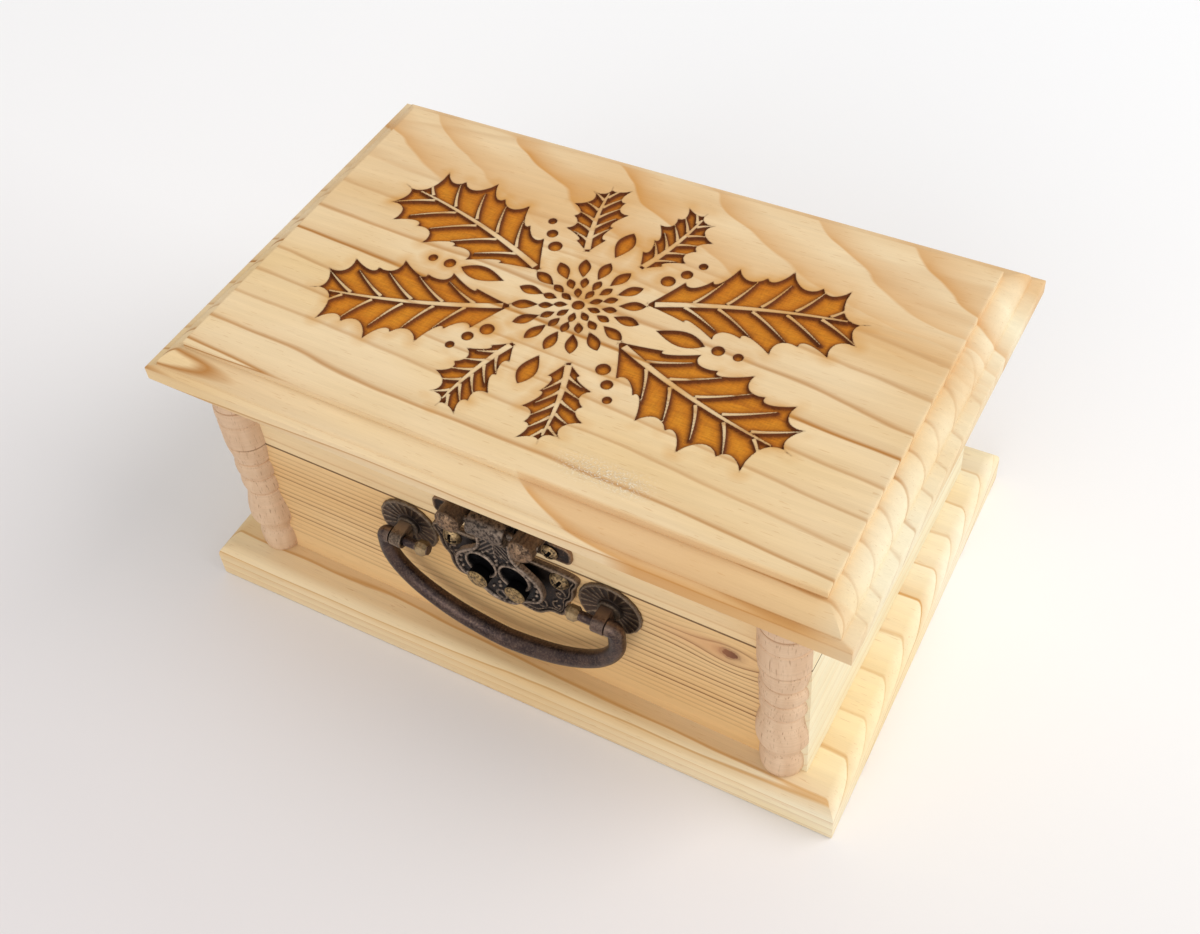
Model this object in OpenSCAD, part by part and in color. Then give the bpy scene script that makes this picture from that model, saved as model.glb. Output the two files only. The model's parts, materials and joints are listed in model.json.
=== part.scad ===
// Keepsake box: a small wooden chest with a hinged lid, turned half columns on its front corners,
// a swinging hasp and a bail handle.
// Origin: on the surface that the box stands on, under the middle of its body. X right, Y back, Z up.

/* [Body] */
// Width of the body, left to right
body_w = 192; // [175:1:230]
// Depth of the body, front to back
body_d = 121; // [100:1:160]
// Thickness of the walls
wall_t = 10; // [9:0.5:12]
// Height of the seam between the box and its lid
seam_z = 64; // [64:0.5:90]
// Height of the lid's frame, from the seam to the lid board
rail_h = 24; // [24:0.5:45]
// Gap that shows between the box and the closed lid
seam_gap = 0.3; // [0.2:0.1:0.6]

/* [Lid board] */
// Thickness of the lid board
lid_t = 12.2; // [10.5:0.1:16]
// How far the lid board stands out past the body at each side
lid_over_x = 14; // [8:0.5:20]
// How far the lid board stands out past the body at the front and the back
lid_over_y = 9.5; // [9.5:0.5:16]
// Height of the lid board's upright edge
lid_edge_h = 5.4; // [4:0.1:7]
// Width of the flat ledge on the sides, from the edge to the moulding
ledge_x = 3.6; // [1:0.1:5]
// Width of the flat ledge at the front and the back
ledge_y = 1.9; // [1:0.1:5]
// Distance from the lid board's side edges to its raised field
field_inset_x = 10; // [9:0.1:16]
// Distance from the lid board's front and back edges to its raised field
field_inset_y = 8.7; // [8:0.1:16]
// Height of the sharp step round the raised field
field_step = 2.2; // [1:0.1:3]
// Depth of the carving in the raised field
carve_depth = 0.9; // [0.5:0.1:1.2]

/* [Base board] */
// Thickness of the base board
base_t = 13.5; // [10:0.5:18]
// How far the base board stands out past the body at each side
base_over_x = 11; // [9:0.5:20]
// How far the base board stands out past the body at the front and the back
base_over_y = 11; // [9:0.5:20]
// Rounding of the base board's upper edges
base_round = 4; // [2:0.5:6]
// The base board is glued on a little askew, turned by this many degrees
base_turn = 1.2; // [0:0.1:2]
// Both boards sit this far to the left of the body's middle
board_shift = 1; // [0:0.1:2]

/* [Columns] */
// Largest radius of the turned columns
column_r = 7.6; // [6.5:0.1:9]
// How far the columns' axes lie behind the front face
column_sink = 1; // [0.5:0.1:2]

/* [Clasp] */
// Middle of the clasp, right of the body's middle
clasp_x = 4.4; // [-10:0.1:10]
// Thickness of the pressed plates
plate_t = 1.2; // [0.8:0.1:1.6]
// Height of the hasp's pin above the seam
hasp_pin_z = 13; // [12:0.1:16]
// Distance of the hasp's pin from the front face
hasp_pin_out = 5.4; // [5.2:0.1:6]
// Radius of the hasp's pin
hasp_pin_r = 1.2; // [0.8:0.1:1.5]
// Radius of the rolled barrel at the top of the hasp
hasp_barrel_r = 3.6; // [2.8:0.1:3.8]
// Width of the rolled barrel
hasp_barrel_w = 12.1; // [9:0.1:14]
// Thickness of the hasp
hasp_t = 1.3; // [1:0.1:1.6]
// Distance between the middles of the two bosses that carry the pin
boss_pitch = 23.4; // [23:0.1:26]
// Diameter of the bosses
boss_d = 7.8; // [6.5:0.1:8.5]

/* [Handle] */
// Middle of the handle, right of the body's middle
handle_x = 4; // [-10:0.1:10]
// Distance between the two posts
post_pitch = 66.8; // [66:0.1:76]
// Depth of the handle's pivot below the seam
pivot_drop = 9.4; // [8:0.1:12]
// Distance of the handle's pivot from the front face
pivot_out = 6.3; // [6.3:0.1:8]
// Width of the posts, which are folded round the handle's pins
post_w = 4; // [3.5:0.1:6]
// Radius of the handle's pins
bail_pin_r = 1.5; // [1:0.1:1.8]
// Radius of the bail in its middle
bail_mid_r = 3; // [2.6:0.1:3.6]
// Radius of the bail at its bends
bail_end_r = 2.5; // [2:0.1:3]
// How far the bail hangs below its pivot
bail_drop = 28.7; // [26:0.1:32]
// Radius of the rosettes
rosette_r = 9.9; // [8:0.1:12]

/* [Hinges] */
// Distance from the side of the box to the middle of a hinge
hinge_inset = 34; // [24:1:45]
// Width of a hinge
hinge_w = 30; // [24:0.5:36]
// Height of one hinge leaf
leaf_h = 13; // [10:0.5:16]
// Thickness of a hinge leaf
leaf_t = 1.2; // [1:0.1:1.4]
// Radius of the hinge's knuckles
knuckle_r = 2.2; // [2:0.1:2.6]
// Radius of the hinge's pin
hinge_pin_r = 1; // [0.7:0.1:1.2]

/* [Hidden] */

$fn = 48;

// Running clearance between a pin and the piece that turns on it
pin_play = 0.05;
// Clearance between neighbouring pieces that move past each other
side_play = 0.25;
// Extra length with which a cut runs past the faces it opens
cut = 1;

rail_top = seam_z + rail_h;
lid_top = rail_top + lid_t;
lid_w = body_w + 2 * lid_over_x;
lid_d = body_d + 2 * lid_over_y;
base_w = body_w + 2 * base_over_x;
base_d = body_d + 2 * base_over_y;
wall_top = seam_z - seam_gap / 2;
rail_bottom = seam_z + seam_gap / 2;
column_x = body_w / 2 - column_r;
hinge_pitch = body_w - 2 * hinge_inset;

// Small edge rounding of the lid board's lower edge
lid_arris = 0.6;
// Rise of the ledge from the edge to the foot of the moulding
ledge_rise = 0.6;
// Steps in one rounded moulding
arc_steps = 8;

// The carving is drawn for a raised field of this width and depth, and follows the field's size
carve_field = [200, 122.6];
// Middle of the carving, from the middle of the lid board
carve_at = [-2, 0];
// Leaves: direction, foot's distance from the middle, length, half width, bend and tips a side
leaves = [[25, 20, 61, 17.5, -9, 7], [67, 23, 30, 9.5, 5, 5]];
leaf_stem = 1.1;
// Drops: direction of the first, how many, distance of the point from the middle, length and width
drops = [[0, 16, 11.6, 8, 3.7], [0, 2, 25, 15, 6], [90, 2, 22, 12, 5.6]];

// Lower columns: heights of the foot's bead, groove and swelling above the base
foot_bead = [0.2, 9.2];
foot_groove = 9.8;
foot_swell = [10.6, 16];
waist_z = 18;
// Depths of the neck's groove and beads, and of the collar, below the seam
neck_swell = 22;
neck_groove = 21.8;
neck_beads = [21.5, 15, 14.5, 7.9];
collar_groove = 7.5;
collar_h = 6.8;
// Upper columns: heights of the drum, the bead and the groove above the seam
drum_h = 10;
drum_bead = [10.2, 15.8];
drum_groove = 16.1;

// Screws: head radius, head height, shank radius and length below the head
upper_screw = [2.75, 1.5, 1.1, 8];
lower_screw = [3.15, 2.2, 1.2, 8];
hinge_screw = [2.3, 0.9, 1, 7];

// Where the clasp's screws sit, from the middle of the clasp and from the seam
upper_screw_at = [15.6, 6.5];
lower_screw_at = [17.7, -5.2];

// Eyes and rivets of the hasp, from its middle and from the seam
eye_at = [5.45, -6.3];
eye_r = 4.45;
eye_rim = 0.8;
eye_depth = 0.8;
rivet_at = [6.2, -11.3];
rivet_r = 1.5;
rivet_head_r = 3.3;
rivet_head_h = 3.3;
rivet_dome = 0.6;

// Half outline of the hasp below its barrel, from the seam, top to bottom
hasp_half = [[6, 11], [5.8, 8], [5.5, 4], [6.4, 1], [9.8, -1.5], [13.4, -4.6], [14.8, -8.5], [14.3, -12],
             [12.3, -14.4], [9.5, -15.6], [7, -17], [5, -19.4], [2.5, -20.4], [0, -20.6]];
// Middle from which the hasp's rim is drawn inward, and the share that is left
hasp_rim_z = -10;
hasp_rim_share = [0.93, 0.94];
hasp_rim_h = 0.8;

// Half outline of the lower plate, from the seam, top to bottom
lower_half = [[12, -0.6], [21, -0.6], [24, -1.6], [24, -4], [22.4, -6.4], [22.3, -9], [21.6, -12], [19.6, -14],
              [19.8, -17.4], [17.8, -21.6], [14.4, -21.4], [12.6, -22.6], [9.4, -25.6], [4.4, -25], [0, -23.6]];
plate_rim_z = -11;
plate_rim_share = [0.93, 0.88];
plate_rim_h = 0.8;

// Upper plate: wings with the screws, and the block behind the bosses
wing_w = 45;
wing_h = 7;
wing_z = 3.5;
block_h = 14;
block_margin = 0.8;
plate_round = 2.4;
boss_out = 10.9;
boss_dome = 2;

// Spring on the back of the hasp, and the bump on the lower plate that its nose rides on
spring_t = 0.6;
spring_w = 18;
spring_h = 5;
spring_r = 0.6;
strike_z = -18.6;
strike_r = 0.8;
strike_w = 8;

// Eye at the end of a handle post, its shank through the wall, and the nut let into the wall behind it
post_eye_r = 2.7;
shank_r = 2.2;
nut_r = 4;
nut_h = 3;
nut_pocket_r = 5.5;
nut_pocket = 3.5;
rosette_hub_r = 3.6;
rosette_hub = 2;
rosette_rim = 1.2;
rosette_dip = 0.8;
rosette_lobes = 16;
rosette_lobe_h = 0.35;

// Knobs on the inner ends of the handle's pins
knob_inset = 8.3;
knob_r = 2.4;
knob_w = 3.9;
// Half of the bail's centreline as shares of its half width and its drop, from the middle out
bail_half_share = [[0, -1], [0.14, -0.985], [0.26, -0.955], [0.39, -0.918], [0.52, -0.86], [0.65, -0.78],
                   [0.78, -0.675], [0.885, -0.545], [0.96, -0.405], [1, -0.26], [1, -0.12], [1, 0]];
// The bends are a little thicker than the ends of the bar that they join
bend_r = bail_end_r + 0.2;
bail_reach = post_pitch / 2 + post_w / 2 + side_play + bend_r;
bail_sides = 16;

// One round of corner cutting on an open line of points: its ends stay where they are
function cut_corners(p) = concat([p[0]],
    [for (i = [0 : len(p) - 2]) each [p[i] * 0.75 + p[i + 1] * 0.25, p[i] * 0.25 + p[i + 1] * 0.75]],
    [p[len(p) - 1]]);
// Whole outline from its right half, which runs from the top to the bottom
function both_halves(half) = let (right = cut_corners(cut_corners(half)))
    concat(right, [for (i = [len(right) - 1 : -1 : 0]) if (right[i][0] > 0.01) [-right[i][0], right[i][1]]]);
// The same outline drawn in towards a middle height
function drawn_in(points, middle, share) =
    [for (p = points) [p[0] * share[0], middle + (p[1] - middle) * share[1]]];
// Half-round bead of a turned profile, as radius and height
function bead(z0, z1, r0, r1, n = 6) =
    [for (i = [0 : n]) let (a = 180 * i / n) [r0 + (r1 - r0) * sin(a), z0 + (z1 - z0) * (1 - cos(a)) / 2]];
// Smooth swelling of a turned profile from one radius to the next
function swell(z0, z1, r0, r1, n = 6) =
    [for (i = [0 : n]) [r0 + (r1 - r0) * (1 - cos(180 * i / n)) / 2, z0 + (z1 - z0) * i / n]];

// Places its children on the front face: X right, Y up from the seam, Z out of the wall
module on_front(x) {
    translate([x, -body_d / 2, seam_z]) rotate([90, 0, 0]) children();
}

module mirrored_pair(x) {
    for (side = [-1, 1]) translate([side * x, 0, 0]) children();
}

module rounded_rect(w, h, r) {
    translate([-w / 2 + r, 0]) square([w - 2 * r, h]);
    translate([-w / 2, r]) square([w, h - 2 * r]);
    for (x = [-w / 2 + r, w / 2 - r]) for (y = [r, h - r]) translate([x, y]) circle(r);
}

// Rod along X between two places
module rod_x(x0, x1, r) {
    translate([x0, 0, 0]) rotate([0, 90, 0]) cylinder(h = x1 - x0, r = r);
}

// Round-headed screw along Z, its head's underside at 0
module screw(s) {
    translate([0, 0, -s[3]]) cylinder(h = s[3], r = s[2]);
    cap(s[0], s[1]);
}

// Shallow dome with a flat underside
module cap(r, h) {
    ball = (r * r + h * h) / (2 * h);
    intersection() {
        translate([0, 0, h - ball]) sphere(ball);
        cylinder(h = h + cut, r = r);
    }
}

module screw_hole(s) {
    translate([0, 0, -s[3]]) cylinder(h = s[3] + wall_t, r = s[2]);
}

// Board whose long edges are all worked to one profile, mitred at the corners
module mitred_board(w, d, profile_x, profile_y) {
    intersection() {
        rotate([90, 0, 90]) linear_extrude(height = w, center = true) polygon(profile_y);
        rotate([90, 0, 0]) linear_extrude(height = d, center = true) polygon(profile_x);
    }
}

// Lid board's section: rounded arris, upright edge, ledge, quarter round, sharp step, raised field
function lid_edge(half, ledge, inset) = let (
    round_run = inset - ledge,
    round_rise = lid_t - lid_edge_h - ledge_rise - field_step,
    foot = rail_top + lid_edge_h + ledge_rise)
    concat(
        [[half - lid_arris, rail_top], [half, rail_top + lid_arris], [half, rail_top + lid_edge_h - lid_arris / 2],
         [half - lid_arris / 2, rail_top + lid_edge_h]],
        [for (i = [0 : arc_steps]) let (a = 90 * i / arc_steps)
            [half - ledge - round_run * (1 - cos(a)), foot + round_rise * sin(a)]],
        [[half - inset, lid_top]]);
function lid_profile(half, ledge, inset) = let (edge = lid_edge(half, ledge, inset))
    concat(edge, [for (i = [len(edge) - 1 : -1 : 0]) [-edge[i][0], edge[i][1]]]);

function base_edge(half) = concat([[half, 0], [half, base_t - base_round]],
    [for (i = [1 : arc_steps]) let (a = 90 * i / arc_steps)
        [half - base_round * (1 - cos(a)), base_t - base_round * (1 - sin(a))]]);
function base_profile(half) = let (edge = base_edge(half))
    concat(edge, [for (i = [len(edge) - 1 : -1 : 0]) [-edge[i][0], edge[i][1]]]);

module base_board() {
    color("burlywood") translate([-board_shift, 0, 0]) rotate([0, 0, base_turn])
        mitred_board(base_w, base_d, base_profile(base_w / 2), base_profile(base_d / 2));
}

// A leaf's spine from its foot along X, and one of the tips on its edge
function spine(leaf, t) = [leaf[2] * t, leaf[4] * t * t];
function leaf_tip(leaf, side, i) = let (
    t = 0.1 + 0.76 * i / (leaf[5] - 1),
    swell = pow(sin(180 * (0.08 + 0.8 * t)), 0.85) * (0.88 + 0.12 * side * cos(180 * i)))
    spine(leaf, t + 0.07) + [0, side * leaf[3] * swell];
// Rounded bay from one tip to the next, hollowed towards the spine
function bay(leaf, a, b, steps = 3) = let (
    middle = (a + b) / 2,
    root = spine(leaf, max(middle[0] / leaf[2] - 0.1, 0)),
    hollow = 0.38 * norm(b - a) / norm(root - middle))
    [for (k = [0 : steps - 1]) let (t = k / steps)
        a + (b - a) * t + (root - middle) * hollow * pow(sin(180 * t), 0.7)];
function leaf_outline(leaf) = let (
    last = leaf[5] - 1,
    tips = concat([[0, leaf_stem]], [for (i = [0 : last]) leaf_tip(leaf, 1, i)], [spine(leaf, 1)],
                  [for (i = [last : -1 : 0]) leaf_tip(leaf, -1, i)], [[0, -leaf_stem]]))
    concat([for (i = [0 : len(tips) - 2]) each bay(leaf, tips[i], tips[i + 1])], [[0, -leaf_stem]]);
// Drop along X, pointed at both ends and fullest beyond its middle
function drop_outline(length, width, steps = 5) = let (
    edge = [for (i = [1 : steps - 1]) let (t = i / steps)
        [t * length, width / 2 * pow(sin(180 * pow(t, 1.2)), 0.85)]])
    concat([[0, 0]], edge, [[length, 0]], [for (i = [len(edge) - 1 : -1 : 0]) [edge[i][0], -edge[i][1]]]);

module carving() {
    for (leaf = leaves) for (x = [0, 1]) for (y = [0, 1]) mirror([x, 0, 0]) mirror([0, y, 0])
        rotate(leaf[0]) translate([leaf[1], 0, 0]) linear_extrude(height = carve_depth + cut)
            polygon(leaf_outline(leaf));
    for (drop = drops) for (i = [1 : drop[1]]) rotate(drop[0] + 360 * i / drop[1])
        translate([drop[2], 0, 0]) linear_extrude(height = carve_depth + cut)
            polygon(drop_outline(drop[3], drop[4]));
}

module lid_board() {
    field = [lid_w - 2 * field_inset_x, lid_d - 2 * field_inset_y];
    carve_scale = min(field[0] / carve_field[0], field[1] / carve_field[1]);
    color("wheat") translate([-board_shift, 0, 0]) difference() {
        mitred_board(lid_w, lid_d, lid_profile(lid_w / 2, ledge_x, field_inset_x),
                     lid_profile(lid_d / 2, ledge_y, field_inset_y));
        translate([carve_at[0], carve_at[1], lid_top - carve_depth]) scale([carve_scale, carve_scale, 1])
            carving();
    }
}

// Front or back wall between the side walls, and side wall over the full depth
module cross_wall(side, bottom, top) {
    translate([-body_w / 2 + wall_t, side * (body_d / 2 - wall_t / 2) - wall_t / 2, bottom])
        cube([body_w - 2 * wall_t, wall_t, top - bottom]);
}

module side_wall(side, bottom, top) {
    translate([side * (body_w / 2 - wall_t / 2) - wall_t / 2, -body_d / 2, bottom])
        cube([wall_t, body_d, top - bottom]);
}

module lower_screw_places() {
    on_front(clasp_x) mirrored_pair(lower_screw_at[0])
        translate([0, lower_screw_at[1], plate_t]) children();
}

module upper_screw_places() {
    on_front(clasp_x) mirrored_pair(upper_screw_at[0])
        translate([0, upper_screw_at[1], plate_t]) children();
}

// Children at each hinge on the back face: X right, Y up from the seam, Z out of the wall
module hinge_places() {
    mirrored_pair(hinge_pitch / 2) translate([0, body_d / 2, seam_z]) rotate([90, 0, 180]) children();
}

hinge_axis_out = knuckle_r + 0.2;
hinge_screw_at = [hinge_w / 2 - 5, leaf_h / 2 + 1];

module hinge_screw_places(way) {
    hinge_places() mirrored_pair(hinge_screw_at[0])
        translate([0, way * hinge_screw_at[1], leaf_t]) children();
}

module wall_front() {
    color("tan") difference() {
        cross_wall(-1, base_t, wall_top);
        lower_screw_places() screw_hole(lower_screw);
        on_front(handle_x) mirrored_pair(post_pitch / 2) translate([0, -pivot_drop, 0]) {
            translate([0, 0, -wall_t - cut]) cylinder(h = wall_t + 2 * cut, r = shank_r);
            translate([0, 0, -wall_t - cut]) cylinder(h = nut_pocket + cut, r = nut_pocket_r);
        }
    }
}

module wall_back() {
    color("tan") difference() {
        cross_wall(1, base_t, wall_top);
        hinge_screw_places(-1) screw_hole(hinge_screw);
    }
}

module wall_left() {
    color("tan") side_wall(-1, base_t, wall_top);
}

module wall_right() {
    color("tan") side_wall(1, base_t, wall_top);
}

module rail_front() {
    color("peru") difference() {
        cross_wall(-1, rail_bottom, rail_top);
        upper_screw_places() screw_hole(upper_screw);
    }
}

module rail_back() {
    color("peru") difference() {
        cross_wall(1, rail_bottom, rail_top);
        hinge_screw_places(1) screw_hole(hinge_screw);
    }
}

module rail_left() {
    color("peru") side_wall(-1, rail_bottom, rail_top);
}

module rail_right() {
    color("peru") side_wall(1, rail_bottom, rail_top);
}

// Turned profiles, bottom to top, as radius and height
lower_turning = concat(
    [[0, base_t], [column_r - 1.7, base_t]],
    bead(base_t + foot_bead[0], base_t + foot_bead[1], column_r - 1.7, column_r - 1),
    [[column_r - 2, base_t + foot_groove]],
    swell(base_t + foot_swell[0], base_t + foot_swell[1], column_r - 1.8, column_r + 0.1),
    swell(base_t + waist_z, wall_top - neck_swell, column_r + 0.1, column_r - 1.4),
    [[column_r - 1.7, wall_top - neck_groove]],
    bead(wall_top - neck_beads[0], wall_top - neck_beads[1], column_r - 1.6, column_r - 0.7),
    bead(wall_top - neck_beads[2], wall_top - neck_beads[3], column_r - 1.6, column_r - 0.5),
    [[column_r - 1.5, wall_top - collar_groove]],
    swell(wall_top - collar_h, wall_top, column_r - 0.9, column_r - 0.1, 3),
    [[0, wall_top]]);

upper_turning = concat(
    [[0, rail_bottom], [column_r, rail_bottom], [column_r, rail_bottom + drum_h - 0.4],
     [column_r - 0.4, rail_bottom + drum_h]],
    bead(rail_bottom + drum_bead[0], rail_bottom + drum_bead[1], column_r - 0.3, column_r),
    [[column_r - 1.3, rail_bottom + drum_groove]],
    swell(rail_bottom + drum_groove + 0.4, rail_top - 1.6, column_r - 0.3, column_r - 0.9, 3),
    bead(rail_top - 1.5, rail_top, column_r - 0.8, column_r - 0.4, 4),
    [[0, rail_top]]);

// Half column on the front face: a turned shape, split lengthwise and glued on by its flat back
module half_column(side, turning) {
    translate([side * column_x, -body_d / 2, 0]) intersection() {
        translate([0, column_sink, 0]) rotate_extrude() polygon(turning);
        translate([-2 * column_r, -2 * column_r, 0]) cube([4 * column_r, 2 * column_r, lid_top]);
    }
}

module column_lower_left() {
    color("sienna") half_column(-1, lower_turning);
}

module column_lower_right() {
    color("sienna") half_column(1, lower_turning);
}

module column_upper_left() {
    color("chocolate") half_column(-1, upper_turning);
}

module column_upper_right() {
    color("chocolate") half_column(1, upper_turning);
}

// Hinges: the lid's leaf has the middle knuckle, the box's leaf has the two outer ones
knuckle_w = hinge_w / 3;

module leaf(way, stretches, bore) {
    difference() {
        union() {
            for (s = stretches) {
                translate([0, 0, hinge_axis_out]) rod_x(s[0], s[1], knuckle_r);
                translate([s[0], way > 0 ? 0 : -knuckle_r, 0]) cube([s[1] - s[0], knuckle_r, leaf_t]);
            }
            translate([0, way > 0 ? knuckle_r : -leaf_h, 0])
                translate([-hinge_w / 2, 0, 0]) cube([hinge_w, leaf_h - knuckle_r, leaf_t]);
        }
        translate([0, 0, hinge_axis_out]) rod_x(-hinge_w, hinge_w, bore);
        mirrored_pair(hinge_screw_at[0]) translate([0, way * hinge_screw_at[1], -cut])
            cylinder(h = leaf_t + 2 * cut, r = hinge_screw[2]);
    }
}

module hinge_place(side) {
    translate([side * hinge_pitch / 2, body_d / 2, seam_z]) rotate([90, 0, 180]) children();
}

module leaf_case() {
    leaf(-1, [[-hinge_w / 2, -knuckle_w / 2], [knuckle_w / 2, hinge_w / 2]], hinge_pin_r);
}

module leaf_lid() {
    leaf(1, [[-knuckle_w / 2 + side_play, knuckle_w / 2 - side_play]], hinge_pin_r + pin_play);
}

module hinge_leaf_case_left() {
    color("dimgray") hinge_place(-1) leaf_case();
}

module hinge_leaf_case_right() {
    color("dimgray") hinge_place(1) leaf_case();
}

module hinge_leaf_lid_left() {
    color("gray") hinge_place(-1) leaf_lid();
}

module hinge_leaf_lid_right() {
    color("gray") hinge_place(1) leaf_lid();
}

module hinge_pins() {
    color("gold") hinge_places() translate([0, 0, hinge_axis_out])
        rod_x(-hinge_w / 2 - 0.5, hinge_w / 2 + 0.5, hinge_pin_r);
}

module hinge_screws_case() {
    color("gold") hinge_screw_places(-1) screw(hinge_screw);
}

module hinge_screws_lid() {
    color("gold") hinge_screw_places(1) screw(hinge_screw);
}

// Clasp: plate on the lid's frame with two bosses that carry the hasp's pin
block_w = boss_pitch + boss_d + 2 * block_margin;
block_z = hasp_pin_z + boss_d / 2 + block_margin - block_h;

module clasp_plate_upper() {
    color("olive") on_front(clasp_x) difference() {
        union() {
            linear_extrude(height = plate_t) {
                translate([0, wing_z]) rounded_rect(wing_w, wing_h, plate_round);
                translate([0, block_z]) rounded_rect(block_w, block_h, plate_round);
            }
            mirrored_pair(boss_pitch / 2) translate([0, hasp_pin_z, 0]) {
                cylinder(h = boss_out - boss_dome, r = boss_d / 2);
                translate([0, 0, boss_out - boss_dome]) cap(boss_d / 2, boss_dome);
            }
        }
        translate([0, hasp_pin_z, hasp_pin_out]) rod_x(-wing_w, wing_w, hasp_pin_r);
        mirrored_pair(upper_screw_at[0]) translate([0, upper_screw_at[1], -cut])
            cylinder(h = plate_t + 2 * cut, r = upper_screw[2]);
    }
}

module clasp_screws_upper() {
    color("gold") upper_screw_places() screw(upper_screw);
}

module clasp_pin() {
    color("gold") on_front(clasp_x) translate([0, hasp_pin_z, hasp_pin_out])
        rod_x(-boss_pitch / 2 - boss_d / 2 - 0.3, boss_pitch / 2 + boss_d / 2 + 0.3, hasp_pin_r);
}

// The hasp's plate hangs from the back half of its barrel
hasp_back = hasp_pin_out - hasp_barrel_r + 2;
hasp_front = hasp_back + hasp_t;
hasp_outline = both_halves(hasp_half);

module hasp() {
    color("darkkhaki") on_front(clasp_x) difference() {
        union() {
            translate([0, 0, hasp_back]) linear_extrude(height = hasp_t) polygon(hasp_outline);
            translate([0, 0, hasp_back]) linear_extrude(height = hasp_t + hasp_rim_h) difference() {
                polygon(hasp_outline);
                polygon(drawn_in(hasp_outline, hasp_rim_z, hasp_rim_share));
            }
            mirrored_pair(eye_at[0]) translate([0, eye_at[1], hasp_back])
                cylinder(h = hasp_t + hasp_rim_h, r = eye_r + eye_rim);
            translate([0, hasp_pin_z, hasp_pin_out])
                rod_x(-hasp_barrel_w / 2, hasp_barrel_w / 2, hasp_barrel_r);
        }
        mirrored_pair(eye_at[0]) translate([0, eye_at[1], hasp_front - eye_depth])
            cylinder(h = eye_depth + hasp_rim_h + cut, r = eye_r);
        mirrored_pair(rivet_at[0]) translate([0, rivet_at[1], hasp_back - cut])
            cylinder(h = hasp_t + hasp_rim_h + 2 * cut, r = rivet_r);
        mirrored_pair(rivet_at[0]) translate([0, rivet_at[1], hasp_front])
            cylinder(h = hasp_rim_h + cut, r = rivet_head_r);
        translate([0, hasp_pin_z, hasp_pin_out])
            rod_x(-hasp_barrel_w, hasp_barrel_w, hasp_pin_r + pin_play);
    }
}

module hasp_rivets() {
    color("gold") on_front(clasp_x) mirrored_pair(rivet_at[0]) translate([0, rivet_at[1], 0]) {
        translate([0, 0, hasp_back - spring_t]) cylinder(h = hasp_t + spring_t, r = rivet_r);
        translate([0, 0, hasp_front]) cylinder(h = rivet_head_h - rivet_dome, r = rivet_head_r);
        translate([0, 0, hasp_front + rivet_head_h - rivet_dome]) cap(rivet_head_r, rivet_dome);
        translate([0, 0, hasp_back - spring_t]) mirror([0, 0, 1]) cap(rivet_r + 0.6, 0.5);
    }
}

// Leaf spring riveted to the back of the hasp: its nose rides on the bump of the lower plate
nose_out = plate_t + strike_r + 0.3 + spring_r;

module hasp_spring() {
    color("silver") on_front(clasp_x) difference() {
        union() {
            translate([-spring_w / 2, rivet_at[1] - spring_h / 2, hasp_back - spring_t])
                cube([spring_w, spring_h, spring_t]);
            translate([-strike_w / 2, strike_z, hasp_back - spring_t])
                cube([strike_w, rivet_at[1] - strike_z, spring_t]);
            translate([0, strike_z, nose_out]) rod_x(-strike_w / 2, strike_w / 2, spring_r);
            translate([-strike_w / 2, strike_z - spring_r, nose_out])
                cube([strike_w, 2 * spring_r, hasp_back - nose_out]);
        }
        mirrored_pair(rivet_at[0]) translate([0, rivet_at[1], 0]) cylinder(h = hasp_front, r = rivet_r);
    }
}

lower_outline = both_halves(lower_half);

module clasp_plate_lower() {
    color("olive") on_front(clasp_x) difference() {
        union() {
            linear_extrude(height = plate_t) polygon(lower_outline);
            linear_extrude(height = plate_t + plate_rim_h) difference() {
                polygon(lower_outline);
                polygon(drawn_in(lower_outline, plate_rim_z, plate_rim_share));
            }
            intersection() {
                translate([0, strike_z, plate_t]) rod_x(-strike_w / 2, strike_w / 2, strike_r);
                translate([-wing_w, strike_z - wing_w, 0]) cube(2 * wing_w);
            }
        }
        mirrored_pair(lower_screw_at[0]) translate([0, lower_screw_at[1], -cut])
            cylinder(h = plate_t + 2 * cut, r = lower_screw[2]);
        mirrored_pair(lower_screw_at[0]) translate([0, lower_screw_at[1], plate_t])
            cylinder(h = plate_rim_h + cut, r = lower_screw[0]);
    }
}

module clasp_screws_lower() {
    color("gold") lower_screw_places() screw(lower_screw);
}

// Handle: rosettes, posts through the wall with nuts behind them, and the bail between the posts
rosette_outline = [for (i = [0 : 8 * rosette_lobes - 1]) let (a = 360 * i / (8 * rosette_lobes),
    r = rosette_r - rosette_lobe_h * (1 - cos(a * rosette_lobes)) / 2) [r * cos(a), r * sin(a)]];
rosette_dish = [[0, 0], [rosette_r, 0], [rosette_r, rosette_rim - 0.4], [rosette_r - 0.6, rosette_rim],
                [rosette_r - 2, rosette_rim], [rosette_hub_r + 1.4, rosette_dip], [rosette_hub_r, rosette_hub],
                [0, rosette_hub]];

module rosette(side) {
    on_front(handle_x) translate([side * post_pitch / 2, -pivot_drop, 0]) difference() {
        intersection() {
            rotate_extrude() polygon(rosette_dish);
            linear_extrude(height = rosette_hub) polygon(rosette_outline);
        }
        translate([0, 0, -cut]) cylinder(h = rosette_hub + 2 * cut, r = shank_r);
    }
}

module rosette_left() {
    color("olive") rosette(-1);
}

module rosette_right() {
    color("olive") rosette(1);
}

shank_in = wall_t - 0.4;

module handle_post(side) {
    on_front(handle_x) translate([side * post_pitch / 2, -pivot_drop, 0]) difference() {
        union() {
            translate([-post_w / 2, -post_eye_r, rosette_hub])
                cube([post_w, 2 * post_eye_r, pivot_out - rosette_hub]);
            translate([0, 0, pivot_out]) rod_x(-post_w / 2, post_w / 2, post_eye_r);
            translate([0, 0, -shank_in]) cylinder(h = shank_in + rosette_hub, r = shank_r);
        }
        translate([0, 0, pivot_out]) rod_x(-post_w, post_w, bail_pin_r + pin_play);
    }
}

module handle_post_left() {
    color("darkolivegreen") handle_post(-1);
}

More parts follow.
